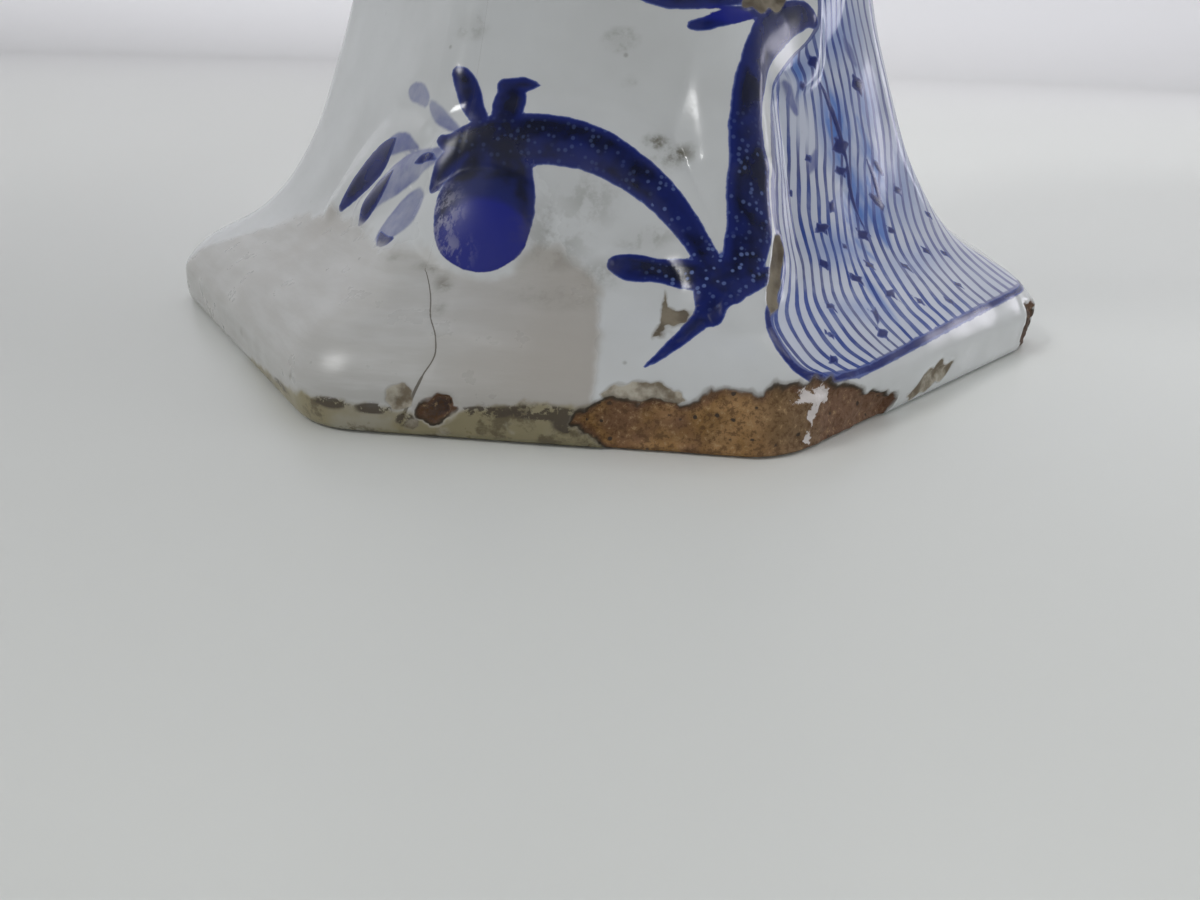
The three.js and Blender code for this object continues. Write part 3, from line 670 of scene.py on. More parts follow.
# Grey-lilac scratches on the left of the ball: worn glaze, and with it a painted sheen.
scuffed = patches(same, [(-18.4, 17.4, 3.4, 5, 1.1), (-15.6, 14.6, 3.6, 2.6, 0.7)])
cobalt = patches(same, [(-12.4, 14.6, 6.4, 5.6, 1), (-10.6, 16.4, 5, 4.4, 1), (26.5, 38, 4.5, 1.4, 0.7)])
stain_top = np.interp(foot_a, [-50, -44, -36, -28, -24, -20, -14, -8, -4, 2, 5, 6],
                      [-1, 1.2, 2, 2.8, 3.7, 3.8, 2.9, 3.5, 4.4, 4.8, 4.8, -1])
chain = patches(spots, [(0, 3.7, 5, 0.9, 1), (-5.5, 3.4, 3, 0.7, 1), (2.8, 2.6, 2.4, 1.2, 1),
                        (-16.4, 3, 2.4, 0.7, 0.9), (-20.6, 3.2, 2.4, 0.7, 0.8), (-31, 2, 3, 0.8, 0.6),
                        (-13.2, 2, 1.4, 0.9, 1)])
stain = np.where(outer, (stain_top - foot_h).ravel() + 0.5 * rag, -3)
print("stained points:", int((stain > 0).sum()))

# %% Heights in mm: relief, losses, crack, brushed glaze and an uneven hand-pressed wall
loss = np.clip(-bare / 0.5, 0, 1) * (0.8 + 0.28 * ripple(spots, 3.5, 3) + 0.14 * ripple(spots, 1.2, 4))
lip = 0.1 * np.exp(-((bare - 0.35) / 0.35) ** 2)
lift = relief - loss + lip
lift -= np.clip(-shallow / 0.6, 0, 1) * (0.35 + 0.15 * ripple(spots, 1.4, 5))
lift += 0.4 * np.clip(-plaster_and_highlight / 0.5, 0, 1)
lift -= 0.1 * np.exp(-(crack / 3) ** 2)
lift += 0.22 * ripple(spots, 26, 6) + 0.05 * ripple(spots, 7, 7)
lift += np.clip(-fill / 1.2, 0, 1) * 0.1
lift += np.clip(-ink / 0.8, 0, 1) * 0.06
lift = np.where(outer, lift, 0).reshape(foot_a.shape)
loss = (loss * outer).reshape(foot_a.shape)
lift = held_down(foot_h, lift + loss) - loss * np.clip(foot_h / 0.8, 0, 1)
foot_skin = shaped(foot_grid, lift)
foot_skin[..., 2] = np.maximum(foot_skin[..., 2], 0)
fields = {
    "ink": ink, "pale": pale, "bare": bare, "shallow": shallow, "fill": fill, "crack": crack,
    "plaster_and_highlight": plaster_and_highlight, "grime_and_shade": grime_and_shade, "wash": wash, "cobalt": cobalt, "stain": stain, "chain": chain,
    "pinholed": pinholed, "scuffed": scuffed, "worn": worn,
    "lines": water_lines(foot_fold, foot_h).ravel(),
    "panel": np.where(outer, panel_inside(foot_fold, foot_h).ravel(), -3),
    "char": ((foot_a < 0) | (foot_a > 60)).ravel() * 1.0,
    "tone": np.clip((foot_a - 19) / 8, 0, 1).ravel(),
    "aged": (foot_h > AGED_ABOVE).ravel() * 1.0,
    "warm": np.clip((foot_a + 13) / 12, 0, 1).ravel() * outer,
    # Painted sheen: towards the right edge of the panel the lines turn pale lilac.
    "sheen_fade": np.clip((foot_fold - 58) / 18, 0, 1).ravel(),
    # Painted highlight: in two ovals of the panel the lines and washes are left out, so the ground shows
    # white.
    "painted_highlight": patches(same, [(45, 27, 3, 5, 1), (42, 31.4, 2, 3, 0.8)]),
}
foot = add_piece("foot_painted", foot_skin, "vase", ["foot", "foot_front_fill", "foot_corner_fill"],
                 fields=fields)
print("relief up to", round(float(relief.max()), 2), "mm")

# %% [markdown]
# ## Materials
# Tin glaze is a thick white glass over brown clay: glossy, a little grey and blue, with pinholes and
# specks. The cobalt sinks into it, so it is navy where the brush was full and bright blue where it ran
# thin at the edges.

# %% Small helpers for shader nodes
class Shader:
    """Adds nodes to a material; a number, a colour or another node's output may feed any input."""

    def __init__(self, name):
        self.material = bpy.data.materials.new(name)
        self.material.use_nodes = True
        self.tree = self.material.node_tree
        self.tree.nodes.clear()

    def add(self, kind, inputs=None, output=0, **settings):
        """A node of that kind with its settings; inputs by name or number."""
        node = self.tree.nodes.new(kind)
        for key, value in settings.items():
            setattr(node, key, value)
        for key, value in (inputs or {}).items():
            socket = node.inputs[key]
            if isinstance(value, bpy.types.NodeSocket):
                self.tree.links.new(value, socket)
            elif isinstance(value, tuple) and len(value) == 3 and socket.type == "RGBA":
                socket.default_value = (*value, 1)
            else:
                socket.default_value = value
        return node.outputs[output] if node.outputs else node

    def math(self, operation, a, b=0.0, clamp=False):
        """One step of arithmetic on two values."""
        return self.add("ShaderNodeMath", {0: a, 1: b}, operation=operation, use_clamp=clamp)

    def times(self, a, b):
        """Product of two values."""
        return self.math("MULTIPLY", a, b)

    def plus(self, a, b):
        """Sum of two values."""
        return self.math("ADD", a, b)

    def centred(self, value):
        """Value less a half, so that noise pushes both ways."""
        return self.math("SUBTRACT", value, 0.5)

    def step(self, value, start, end, low=0.0, high=1.0):
        """Smooth step: low before start, high after end."""
        return self.add("ShaderNodeMapRange", {0: value, 1: start, 2: end, 3: low, 4: high},
                        interpolation_type="SMOOTHSTEP")

    def field(self, name):
        """A number stored on the mesh."""
        return self.add("ShaderNodeAttribute", output=2, attribute_name=name)

    def noise(self, scale, detail=3.0, rough=0.55, stretch=None):
        """Fractal noise in the piece's own metres; stretch squeezes it along the axes."""
        where = self.add("ShaderNodeTexCoord", output=3)
        if stretch:
            where = self.add("ShaderNodeMapping", {0: where, 3: stretch})
        settings = {"Vector": where, "Scale": scale, "Detail": detail, "Roughness": rough}
        return self.add("ShaderNodeTexNoise", settings)

    def cells(self, scale, output=0):
        """Distance to the nearest of scattered points, and each cell's own random colour as output 1."""
        where = self.add("ShaderNodeTexCoord", output=3)
        return self.add("ShaderNodeTexVoronoi", {"Vector": where, "Scale": scale}, output=output)

    def blend(self, share, low, high):
        """Mixes two colours: low at share 0, high at share 1."""
        return self.add("ShaderNodeMix", {0: share, 6: low, 7: high}, output=2, data_type="RGBA")

    def finish(self, **inputs):
        """Principled shader into the output; returns the material."""
        names = {"color": "Base Color", "roughness": "Roughness", "normal": "Normal", "ior": "IOR"}
        shader = self.add("ShaderNodeBsdfPrincipled", {names[k]: v for k, v in inputs.items()})
        self.add("ShaderNodeOutputMaterial", {"Surface": shader})
        return self.material


print("shader helper is ready")

# %% Colours of the glaze, the cobalt, the repairs and the clay
GLAZE, GLAZE_SHADE, GREY_FLECK = (.57, .59, .595), (.50, .515, .515), (.15, .145, .12)
NAVY, COBALT, BALL_BLUE = (.003, .005, .022), (.008, .016, .13), (.008, .014, .20)
THIN_BLUE, PALE_BLUE, PETAL_BLUE = (.07, .10, .30), (.095, .115, .29), (.16, .22, .43)
PINHOLE_BLUE, SCUFF_AND_SHEEN_GREY, PANEL_GLAZE = (.13, .19, .42), (.30, .30, .40), (.475, .515, .635)
WASH_BLUE, LINE_BLUE = (.07, .165, .47), (.012, .044, .25)
LINE_GREY, SHEEN_LILAC = (.07, .08, .21), (.22, .225, .37)
FILL, FILL_LIGHT, FILL_WARM = (.42, .415, .395), (.47, .47, .455), (.36, .335, .30)
CRACK_BROWN, GRIME_AND_SHADE = (.08, .065, .045), (.10, .09, .055)
OLIVE, OLIVE_DARK = (.25, .215, .115), (.12, .095, .05)
BROWN_SPOT, PUTTY, PUTTY_DARK = (.05, .035, .022), (.42, .39, .32), (.15, .12, .08)
OLD_PUTTY, OLD_PUTTY_DARK, SCUFF_RIM = (.21, .18, .13), (.10, .08, .055), (.20, .18, .14)
CLAY, CLAY_LIGHT = (.25, .135, .045), (.36, .21, .09)
CLAY_GREY, CLAY_PIT = (.23, .155, .11), (.05, .035, .025)
CLAY_RED, CLAY_DARK, CLAY_FLECK = (.15, .075, .045), (.10, .052, .022), (.42, .29, .15)
CLAY_UMBER, CHARRED, CHIP_EDGE_SHADOW = (.12, .075, .03), (.075, .052, .045), (.045, .034, .022)
HALO, HALO_CHARRED, PLASTER_AND_HIGHLIGHT = (.46, .44, .41), (.14, .12, .09), (.70, .66, .65)
print("colours are set")

# %% Paint of the brush: bold strokes, washes and fine lines
def cobalt_paint(s, color, fields, tremble, pools, thinned):
    """Pale washes, then bold strokes: thin blue at the edge, cobalt, navy where the brush was full."""
    if "pale" in fields:
        pale = s.plus(s.field("pale"), tremble)
        share = s.times(s.step(pale, 0.15, -0.35), s.step(pools, 0.2, 0.8, 0.5, 0.95))
        color = s.blend(share, color, thinned)
    ink = s.plus(s.field("ink"), tremble)
    blue = s.blend(s.step(ink, -0.02, -0.22), THIN_BLUE, COBALT)
    drawn = s.step(s.noise(150, 3, 0.6), 0.4, 0.56, 0.35, 1)
    full = s.times(s.step(ink, -0.15, -1.1), s.times(drawn, s.step(pools, 0.3, 0.58, 0.45, 1)))
    blue = s.blend(full, blue, NAVY)
    if "cobalt" in fields:
        bright = s.plus(s.field("cobalt"), s.times(s.centred(s.noise(170, 3)), 0.7))
        blue = s.blend(s.step(bright, 0.12, 0.5), blue, BALL_BLUE)
    if "pinholed" in fields:
        chosen = s.step(s.add("ShaderNodeSeparateColor", {0: s.cells(1500, 1)}), 0.38, 0.5)
        holes = s.times(s.step(s.cells(1500), 0.44, 0.2), chosen)
        blue = s.blend(s.times(holes, s.times(s.field("pinholed"), 0.75)), blue, PINHOLE_BLUE)
    # Scratches on the ball lightened to grey-lilac: wear together with a painted sheen.
    if "scuffed" in fields:
        scratches = s.step(s.noise(900, 5, 0.7, stretch=(1, 1, 0.4)), 0.45, 0.58)
        blue = s.blend(s.times(s.times(scratches, s.field("scuffed")), 0.7), blue, SCUFF_AND_SHEEN_GREY)
    return s.blend(s.step(ink, 0.06, -0.07), color, blue)


def water_paint(s, color, tremble, pools):
    """Fine lines where the line count is near a half, over a bluer ground with washes between them."""
    inside = s.step(s.field("panel"), 0.0, 0.25)
    color = s.blend(s.times(inside, 0.8), color, PANEL_GLAZE)
    # Painted highlight: lines and washes are left out where this field is high.
    inside = s.times(inside, s.math("SUBTRACT", 1.0, s.field("painted_highlight")))
    streaky = s.step(s.noise(260, 3, stretch=(1, 1, 0.22)), 0.3, 0.55, 0.3, 1)
    wash = s.times(s.times(s.field("wash"), inside), streaky)
    color = s.blend(s.times(wash, 0.95), color, WASH_BLUE)
    count = s.plus(s.field("lines"), s.times(tremble, 0.1))
    away = s.math("ABSOLUTE", s.math("SUBTRACT", s.math("FRACT", count), 0.5))
    width = s.step(s.noise(150, 3), 0.3, 0.75, 0.13, 0.23)
    line = s.times(s.step(s.math("SUBTRACT", away, width), 0.045, -0.035), inside)
    tone = s.blend(s.step(s.noise(75, 2), 0.34, 0.54), LINE_GREY, LINE_BLUE)
    # Painted sheen: the lines turn pale lilac towards the panel's right edge.
    tone = s.blend(s.times(s.field("sheen_fade"), 0.8), tone, SHEEN_LILAC)
    color = s.blend(s.times(line, s.step(pools, 0.2, 0.6, 0.7, 1)), color, tone)
    rim = s.step(s.math("ABSOLUTE", s.plus(s.field("panel"), tremble)), 0.5, 0.35)
    return s.blend(s.times(rim, 0.85), color, tone)


print("paint helpers are ready")

# %% Wear: fill, grime and painted shade, stains and bare clay
def repairs(s, color, rough, bump, tremble):
    """Grey brushed paint over the fill, the crack, grime caught in the glaze, and painted shade below the
    arc.
    """
    streaks = s.noise(330, 5, 0.6, stretch=(0.35, 0.35, 3.0))
    paint = s.blend(s.step(streaks, 0.35, 0.68), FILL, FILL_LIGHT)
    paint = s.blend(s.times(s.step(s.noise(48, 3), 0.46, 0.72), 0.5), paint, FILL_WARM)
    paint = s.blend(s.times(s.field("warm"), 0.8), paint, FILL_WARM)
    edge = s.plus(s.field("fill"), s.times(s.centred(s.noise(210, 3)), 3.0))
    on = s.times(s.step(edge, 0.7, -0.7), 0.92)
    color = s.blend(on, color, paint)
    rough = s.plus(rough, s.times(on, 0.16))
    bump = s.plus(bump, s.times(s.times(streaks, on), 0.08))
    aside = s.math("ABSOLUTE", s.plus(s.field("crack"), s.times(tremble, 2.5)))
    seam = s.step(aside, 1.3, 0.7)
    color = s.blend(s.times(seam, 0.85), color, CRACK_BROWN)
    spotty = s.step(s.noise(420, 4, 0.65), 0.42, 0.62)
    # Dirt spots, and painted shade below the raised arc, darken the glaze.
    grime_and_shade = s.times(s.field("grime_and_shade"), s.plus(s.times(spotty, 0.75), 0.18))
    color = s.blend(grime_and_shade, color, GRIME_AND_SHADE)
    stain = s.step(s.plus(s.field("stain"), tremble), -0.3, 0.6)
    color = s.blend(s.times(stain, s.step(s.noise(130, 4), 0.3, 0.5, 0.6, 0.95)), color, OLIVE)
    color = s.blend(s.times(s.step(s.noise(210, 5, 0.7), 0.5, 0.62), stain), color, OLIVE_DARK)
    spots = s.times(s.step(s.noise(480, 4, 0.75), 0.45, 0.52), s.step(s.field("chain"), 0.05, 0.4))
    color = s.blend(s.times(spots, 0.9), color, BROWN_SPOT)
    crust = s.times(s.step(s.noise(260, 4), 0.6, 0.7), stain)
    return s.blend(s.times(crust, 0.6), color, PUTTY), rough, bump


def losses(s, color, rough, bump, tremble):
    """Scuffed places, then flakes down to the clay with a painted shadow rim, and the plaster smeared over
    them.
    """
    shallow = s.plus(s.field("shallow"), s.times(tremble, 0.7))
    scuffed = s.blend(s.step(s.noise(420, 4), 0.36, 0.62), PUTTY_DARK, PUTTY)
    old = s.blend(s.step(s.noise(300, 4), 0.36, 0.62), OLD_PUTTY_DARK, OLD_PUTTY)
    scuffed = s.blend(s.field("aged"), scuffed, old)
    color = s.blend(s.step(shallow, 0.22, 0.0, 0, 0.4), color, SCUFF_RIM)
    on = s.step(shallow, 0.06, -0.1)
    color = s.blend(on, color, scuffed)
    rough = s.plus(rough, s.times(on, 0.5))
    bare = s.plus(s.field("bare"), s.times(tremble, 0.9))
    clay = s.blend(s.step(s.noise(300, 5), 0.36, 0.66), CLAY, CLAY_LIGHT)
    clay = s.blend(s.times(s.field("tone"), 0.8), clay, CLAY_GREY)
    clay = s.blend(s.times(s.step(s.noise(85, 4), 0.5, 0.66), 0.5), clay, CLAY_UMBER)
    clay = s.blend(s.times(s.field("char"), s.step(s.noise(400, 4), 0.3, 0.7, 1, 0.75)), clay, CHARRED)
    clay = s.blend(s.times(s.step(s.noise(110, 3), 0.5, 0.62), 0.7), clay, CLAY_RED)
    edge = s.plus(bare, s.times(s.noise(240, 4, 0.7), 1.6))
    clay = s.blend(s.times(s.step(edge, 0.1, 0.75), 0.8), clay, CLAY_RED)
    grain = s.noise(1500, 4, 0.75)
    clay = s.blend(s.step(grain, 0.5, 0.4, 0, 0.75), clay, CLAY_DARK)
    clay = s.blend(s.step(grain, 0.56, 0.66, 0, 0.6), clay, CLAY_FLECK)
    chosen = s.step(s.add("ShaderNodeSeparateColor", {0: s.cells(900, 1)}), 0.55, 0.6)
    pits = s.times(s.step(s.plus(s.cells(900), s.times(grain, 0.3)), 0.4, 0.3), chosen)
    clay = s.blend(pits, clay, CLAY_PIT)
    halo = s.blend(s.field("char"), HALO_CHARRED, HALO)
    color = s.blend(s.step(bare, 0.4, 0.12, 0, 0.5), color, halo)
    flake = s.step(bare, 0.1, -0.12)
    color = s.blend(flake, color, clay)
    # Painted shadow: a dark band just inside each flake's edge, where the glaze edge shades the clay.
    rim = s.times(s.step(bare, -0.4, -0.05), s.step(bare, 0.14, 0.0))
    rim = s.times(rim, s.step(s.noise(160, 3), 0.4, 0.6, 0.25, 0.95))
    color = s.blend(rim, color, CHIP_EDGE_SHADOW)
    rough = s.plus(rough, s.times(flake, 0.7))
    bump = s.plus(bump, s.times(s.times(s.noise(700, 5), flake), 0.6))
    # Plaster, with its painted highlight streak, smeared over the clay and smoother than it.
    ragged = s.times(s.centred(s.noise(700, 5, 0.7)), 3.2)
    smear = s.step(s.plus(s.plus(s.field("plaster_and_highlight"), s.times(tremble, 1.4)), ragged), 0.1, -0.1)
    color = s.blend(s.times(smear, 0.9), color, PLASTER_AND_HIGHLIGHT)
    return color, s.math("SUBTRACT", rough, s.times(smear, 0.55), clamp=True), bump


print("wear helpers are ready")

# %% Tin glaze painted in cobalt
def painted_glaze(name, fields, thinned=PALE_BLUE):
    """White glaze with clouds and flecks, the blue painting, and repairs and losses if a piece has them."""
    s = Shader(name)
    color = s.blend(s.step(s.noise(38, 4), 0.38, 0.7), GLAZE, GLAZE_SHADE)
    flecks = s.times(s.step(s.cells(420), 0.15, 0.05), s.step(s.noise(90, 2), 0.58, 0.7))
    color = s.blend(s.times(flecks, 0.6), color, GREY_FLECK)
    tremble = s.times(s.centred(s.noise(700, 3)), 0.34)
    pools = s.noise(260, 4)
    if "lines" in fields:
        color = water_paint(s, color, tremble, pools)
    color = cobalt_paint(s, color, fields, tremble, pools, thinned)
    rough = s.step(pools, 0.3, 0.7, 0.12, 0.22)
    if "worn" in fields:
        rough = s.plus(rough, s.times(s.field("worn"), 0.3))
    bump = s.times(s.noise(300, 3), 0.05)
    if "fill" in fields:
        color, rough, bump = repairs(s, color, rough, bump, tremble)
        color, rough, bump = losses(s, color, rough, bump, tremble)
    normal = s.add("ShaderNodeBump", {"Strength": 0.6, "Distance": 0.001, "Height": bump})
    return s.finish(color=color, roughness=rough, normal=normal, ior=1.5)


foot_glaze = painted_glaze("tin_glaze_on_foot", fields)
foot.data.materials.append(foot_glaze)
print("material nodes:", len(foot_glaze.node_tree.nodes))

# %% [markdown]
# ## Painting for the parts above the foot
# The photograph ends at the waist, so the body, neck and lid carry the plain stock of such workshops:
# flowering plants in a scrolled frame, running-water lines as on the foot, scalloped borders, rings and
# brush leaves.

# %% Two bouquets made of those motifs
def bouquet(stems, leaves, blooms):
    """Lines and washes of a plant: stems, a press of the brush for each leaf, a blossom for each head."""
    lines, washes = list(stems) + [leaf(*item) for item in leaves], []
    for head in blooms:
        petals, insides = blossom(*head)
        lines, washes = lines + petals, washes + insides
    return lines, washes


front_flowers, front_wash = bouquet(
    [[(-4, -50, 1), (-2, -34, 0.9), (3, -16, 0.8), (1, 4, 0.7), (-3, 20, 0.6)],
     [(0, -26, 0.8), (8, -18, 0.7), (14, -8, 0.6)],
     [(-1, -34, 0.8), (-9, -24, 0.7), (-14, -12, 0.6)],
     [(2, -8, 0.7), (9, 8, 0.6), (14, 24, 0.6), (13, 34, 0.6)],
     [(0, 0, 0.7), (-10, 12, 0.6), (-17, 22, 0.5), (-18, 28, 0.5)],
     [(-24, -47, 0.7), (-13, -49, 1.3), (-3, -51.5, 1.5), (9, -50, 1.4), (22, -48, 0.7)],
     [(-17, -54, 0.6), (-5, -56.5, 1.2), (8, -56, 1.1), (17, -53, 0.5)],
     [(-20, -47, 0.5), (-21, -42, 0.3)],
     [(-17, -48, 0.6), (-17.4, -41, 0.2)],
     [(17, -48, 0.6), (18, -42, 0.2)]],
    [(-3, -40, 0.75, 17), (-3, -42, 2.5, 16), (2, -20, 2.75, 13), (3, -16, 0.4, 10), (1, 2, 0.9, 12),
     (0, 8, 2.2, 11), (8, -18, -0.4, 13), (-9, -24, 3.5, 13), (7, 4, -0.1, 12), (-10, 12, 3.5, 11),
     (14, 24, 0.2, 9), (12, 18, 2.4, 8), (-17, 22, 2.7, 8), (-4, -48, 0.05, 12), (-5, -48, 3.1, 11),
     (0, -28, 1.5, 10)],
    [(-3, 31, 12.5, 7, 0.2), (17, -3, 10, 6, 0.5), (-17, -6, 9.5, 6, 0.1), (13, 41, 7, 5, 0.3),
     (-19, 34, 6.5, 5, 0.9)])
front_flowers += [tendril(9, 48, 1.2, 9), tendril(-12, 46, 2.2, 9, -1), tendril(5, 12, 0.6, 8)]
front_wash += [[(-16, -52, 2), (-4, -54, 2.2), (10, -53, 2)], [(-2, -36, 1.6), (4, -30, 1.4)]]
side_flowers, side_wash = bouquet(
    [[(0, -76, 1.1), (3, -54, 1), (-2, -28, 0.9), (3, 0, 0.8), (-1, 24, 0.8), (0, 40, 0.7)],
     [(0, -38, 0.8), (-8, -26, 0.7), (-12, -14, 0.6)],
     [(1, -12, 0.8), (9, -2, 0.7), (14, 8, 0.6)],
     [(-13, -78, 0.8), (0, -80, 1.4), (13, -77, 0.7)]],
    [(2, -60, 0.7, 15), (2, -62, 2.4, 13), (0, -38, 0.5, 13), (1, -12, 2.5, 15), (3, 0, 2.8, 13),
     (2, 8, 0.9, 13), (-1, 24, 2.4, 13), (-1, 24, 0.7, 13), (-8, -26, 3.4, 9), (9, -2, -0.5, 10),
     (1, -70, 0.3, 9), (0, -71, 2.8, 8)],
    [(0, 50, 13, 7, 0.3), (16, 15, 9, 6, 0.2), (-13, -6, 9, 6, 0.6), (8, -38, 6.5, 5, 0.4)])
side_flowers += [tendril(4, 64, 1.2, 10), tendril(-4, 63, 2.0, 10, -1), tendril(-9, 8, 2.2, 9, -1),
                 tendril(8, 30, 0.8, 8)]
print("lines in the two bouquets:", len(front_flowers), len(side_flowers))

# %% Borders by formula
def rings(height, levels):
    """Distance to level lines round the vase, each given as (height, half width)."""
    return np.minimum.reduce([np.abs(height - level) - half for level, half in levels])


def scallop_edge(around, height, level, drop, count):
    """Signed distance to hanging arcs, negative above: level less a rounded sag, over the true slope."""
    phase = np.mod(around * count / GIRTH, 1)
    sag = drop * np.sin(np.pi * phase)
    slope = drop * np.pi * np.cos(np.pi * phase) * count / GIRTH
    return (level - sag - height) / np.sqrt(1 + slope**2)


def scallops(around, height, level, drop, count, half):
    """Distance to the line of hanging arcs."""
    return np.abs(scallop_edge(around, height, level, drop, count)) - half


def hatching(around, height, low, high, count, half, lean=0.0):
    """Short slanting strokes between two levels."""
    phase = np.mod(around * count / GIRTH + lean * (height - low), 1) - 0.5
    beside = np.abs(phase) * GIRTH / count - half
    return np.maximum(beside, np.maximum(low - height, height - high))


def all_round(motif, height, count, start=0.5):
    """The same small motif laid at evenly spaced places round the vase."""
    return [s for k in range(count) for s in placed(motif, (k + start) * GIRTH / count, height)]


print("border helpers are ready")

# %% [markdown]
# ## The body
# The body carries a moulded frame of scrolls on its front and back, panels of running-water lines with a
# reserved oval on the slanting facets, and a flowering branch on the sides. A painter would turn the pot
# and repeat the drawing, so the back half reads the front's distances after half a turn. The inside is
# glazed too: the skin turns over the top and runs down to a closed floor.

# %% Rings of the body
def bead(height, middle, reach, rise):
    """Half-round moulding that covers a joint: an arch over the distance from its middle level."""
    return rise * np.sqrt(np.clip(1 - ((height - middle) / reach) ** 2, 0, 1))


BODY_WALL, FINE, HALF_ROUND = 6.0, 34, GIRTH / 2
body_heights = np.concatenate([np.linspace(WAIST, WAIST + 4, 12)[:-1], np.linspace(WAIST + 4, COLLAR, 200)])
body_out = np.column_stack([half_width(body_heights) + bead(body_heights, WAIST + 2, 2, 1.8), body_heights])
inside_heights = np.linspace(COLLAR, WAIST + BODY_WALL, 20)
body_rows = np.vstack([body_out, np.column_stack([half_width(inside_heights) - BODY_WALL, inside_heights])])
body_around = columns([(-FINE, FINE, 0.8), (FINE, HALF_ROUND - FINE, 1.25),
                       (HALF_ROUND - FINE, HALF_ROUND + FINE, 0.8),
                       (HALF_ROUND + FINE, GIRTH - FINE, 1.25)])
body_grid = level_grid(body_rows, body_around)
body_a, body_h = spread(body_rows, body_around)
body_a = np.mod(body_a + GIRTH / 4, GIRTH / 2) - GIRTH / 4
print("body grid:", body_grid.shape)

# %% Frame of scrolls on the body, moulded and painted
body_scrolls = [
    [(-4, 66, 0.6), (-12, 69, 1.6), (-21, 77, 2.6), (-28, 90, 3), (-30, 102, 2.6), (-27, 112, 2),
     (-21, 117, 1.6), (-17.5, 113, 1.5), (-19, 108.5, 1.8)],
    [(-19, 126, 1.2), (-26, 128, 2), (-31, 138, 2.6), (-33, 154, 3), (-32, 172, 3), (-27, 188, 2.6),
     (-19, 199, 2.2), (-10, 204, 1.8), (-5, 200, 1.5), (-6.5, 194.5, 1.8)],
    [(5, 65, 0.6), (13, 68, 1.6), (22, 75, 2.4), (27, 86, 2.8), (26, 98, 2.6), (24, 108, 2.4),
     (26, 117, 2.2), (22, 123, 1.8), (16, 121, 1.5), (16.5, 116, 1.8)],
    [(18, 131, 1), (25, 133, 1.8), (31, 142, 2.6), (33.5, 158, 3), (31, 174, 2.8), (24, 186, 2.4),
     (17, 196, 2.4), (14, 206, 2.4), (6, 213, 2.2), (-2, 212, 1.7), (-4, 207, 1.6), (-0.5, 204.5, 1.6)],
]
body_ridges = [([(a, h, 2 * w + 1.5) for a, h, w in line], 1.5, 1.5) for line in body_scrolls]
echoes = [[(0.8 * a, h, 0.6) for a, h, _ in line[1:-3]] for line in body_scrolls[1::2]]
leaves_out = [(-30, 100, 2.8, 13), (-34, 156, 3.2, 13), (-29, 186, 2.7, 12), (28, 88, 0.1, 12),
              (34, 156, 0.2, 13), (25, 190, 0.6, 12), (-10, 68, 4.1, 9), (11, 67, 5.4, 9),
              (4, 215, 1.5, 11)]
frame_strokes = body_scrolls + echoes
for a, h, lean, length in leaves_out:
    frame_strokes += placed(fan(0, 0, lean, length), a, h)
print("scrolls:", len(body_scrolls), "frame strokes:", len(frame_strokes))

# %% Running water on the slanting facets, with an oval left free
RESERVE, RESERVE_HALF = (59, 150), (15, 25)
EDGE = np.array([(70, 30), (90, 44), (105, 43), (121, 41), (140, 45), (160, 48), (180, 45), (198, 37),
                 (214, 29)])


def body_water(around, height):
    """Count of lines that run up the facet and sway together; steps widen where the body is narrow."""
    step = np.interp(height, [70, 120, 190, 215], [3.6, 2.6, 2.1, 2.3])
    sway = 0.7 * np.sin(height * 0.085) + 0.3 * np.sin(height * 0.21 + around * 0.1)
    return (around - RESERVE[0]) / step + sway + 0.16 * np.sin(around * 0.6) * np.sin(height * 0.16)


def body_panel(around, height):
    """Positive in mm inside the panel: the least distance to its four edges and to the oval in it."""
    scale = half_width(height) / FOOT_HALF
    left = (around - np.interp(height, EDGE[:, 0], EDGE[:, 1])) * scale
    off = np.hypot((around - RESERVE[0]) * scale / RESERVE_HALF[0], (height - RESERVE[1]) / RESERVE_HALF[1])
    return np.minimum.reduce([left, (78 - around) * scale, height - 76, 214 - height,
                              (off - 1) * RESERVE_HALF[0]])


rng = np.random.default_rng(5)
body_dabs = []
for level in np.linspace(81, 208, 17):
    a, n, tilt = rng.uniform(46, 75), rng.uniform(3, 5.5), rng.uniform(-1, 1)
    if body_panel(np.array([a]), np.array([level]))[0] > 3:
        across = [(-n / 2, -tilt, 0.2), (0, 0, 1), (n / 2, tilt, 0.2)]
        body_dabs += placed([across, [(0, -1.8, 0.1), (0, 0, 0.7), (0, 1.8, 0.1)]], a, level)
print("dabs on a facet:", len(body_dabs) // 2)

# %% Paint and raise the body
FRONT_AT, SIDE_AT, ARCS, BOX_LIMITS = (0, 138, 0.96), 150, 16, (69.9, 75.7)
UP, DOWN = np.pi / 2, -np.pi / 2
reserve_flower, reserve_wash = bouquet(
    [[(0, -17, 0.9), (1, -8, 0.8), (0, 0, 0.7)]],
    [(0, -12, 0.6, 10), (0, -12, 2.5, 10), (0, -3, 0.9, 8), (0, -3, 2.2, 8)],
    [(0, 8, 9, 6, 0.3, 0.75)])
mirrored_strokes = body_dabs + placed(reserve_flower, *RESERVE)
body_strokes = frame_strokes + placed(front_flowers, *FRONT_AT)
body_washes = placed(front_wash, *FRONT_AT)
for middle in SIDES:
    body_strokes += placed(side_flowers, middle, SIDE_AT)
    body_washes += placed(side_wash, middle, SIDE_AT)
body_strokes += all_round(fan(0, 0, UP, 8, 0.7), 229, ARCS)
body_strokes += all_round([leaf(0, 0, DOWN, 8, 0.14)], 235, ARCS, 0)
body_strokes += all_round([leaf(0, 0, UP, 9, 0.2)], 60, ARCS)
spots = body_grid.reshape(-1, 3)
same = facing_front(spots)
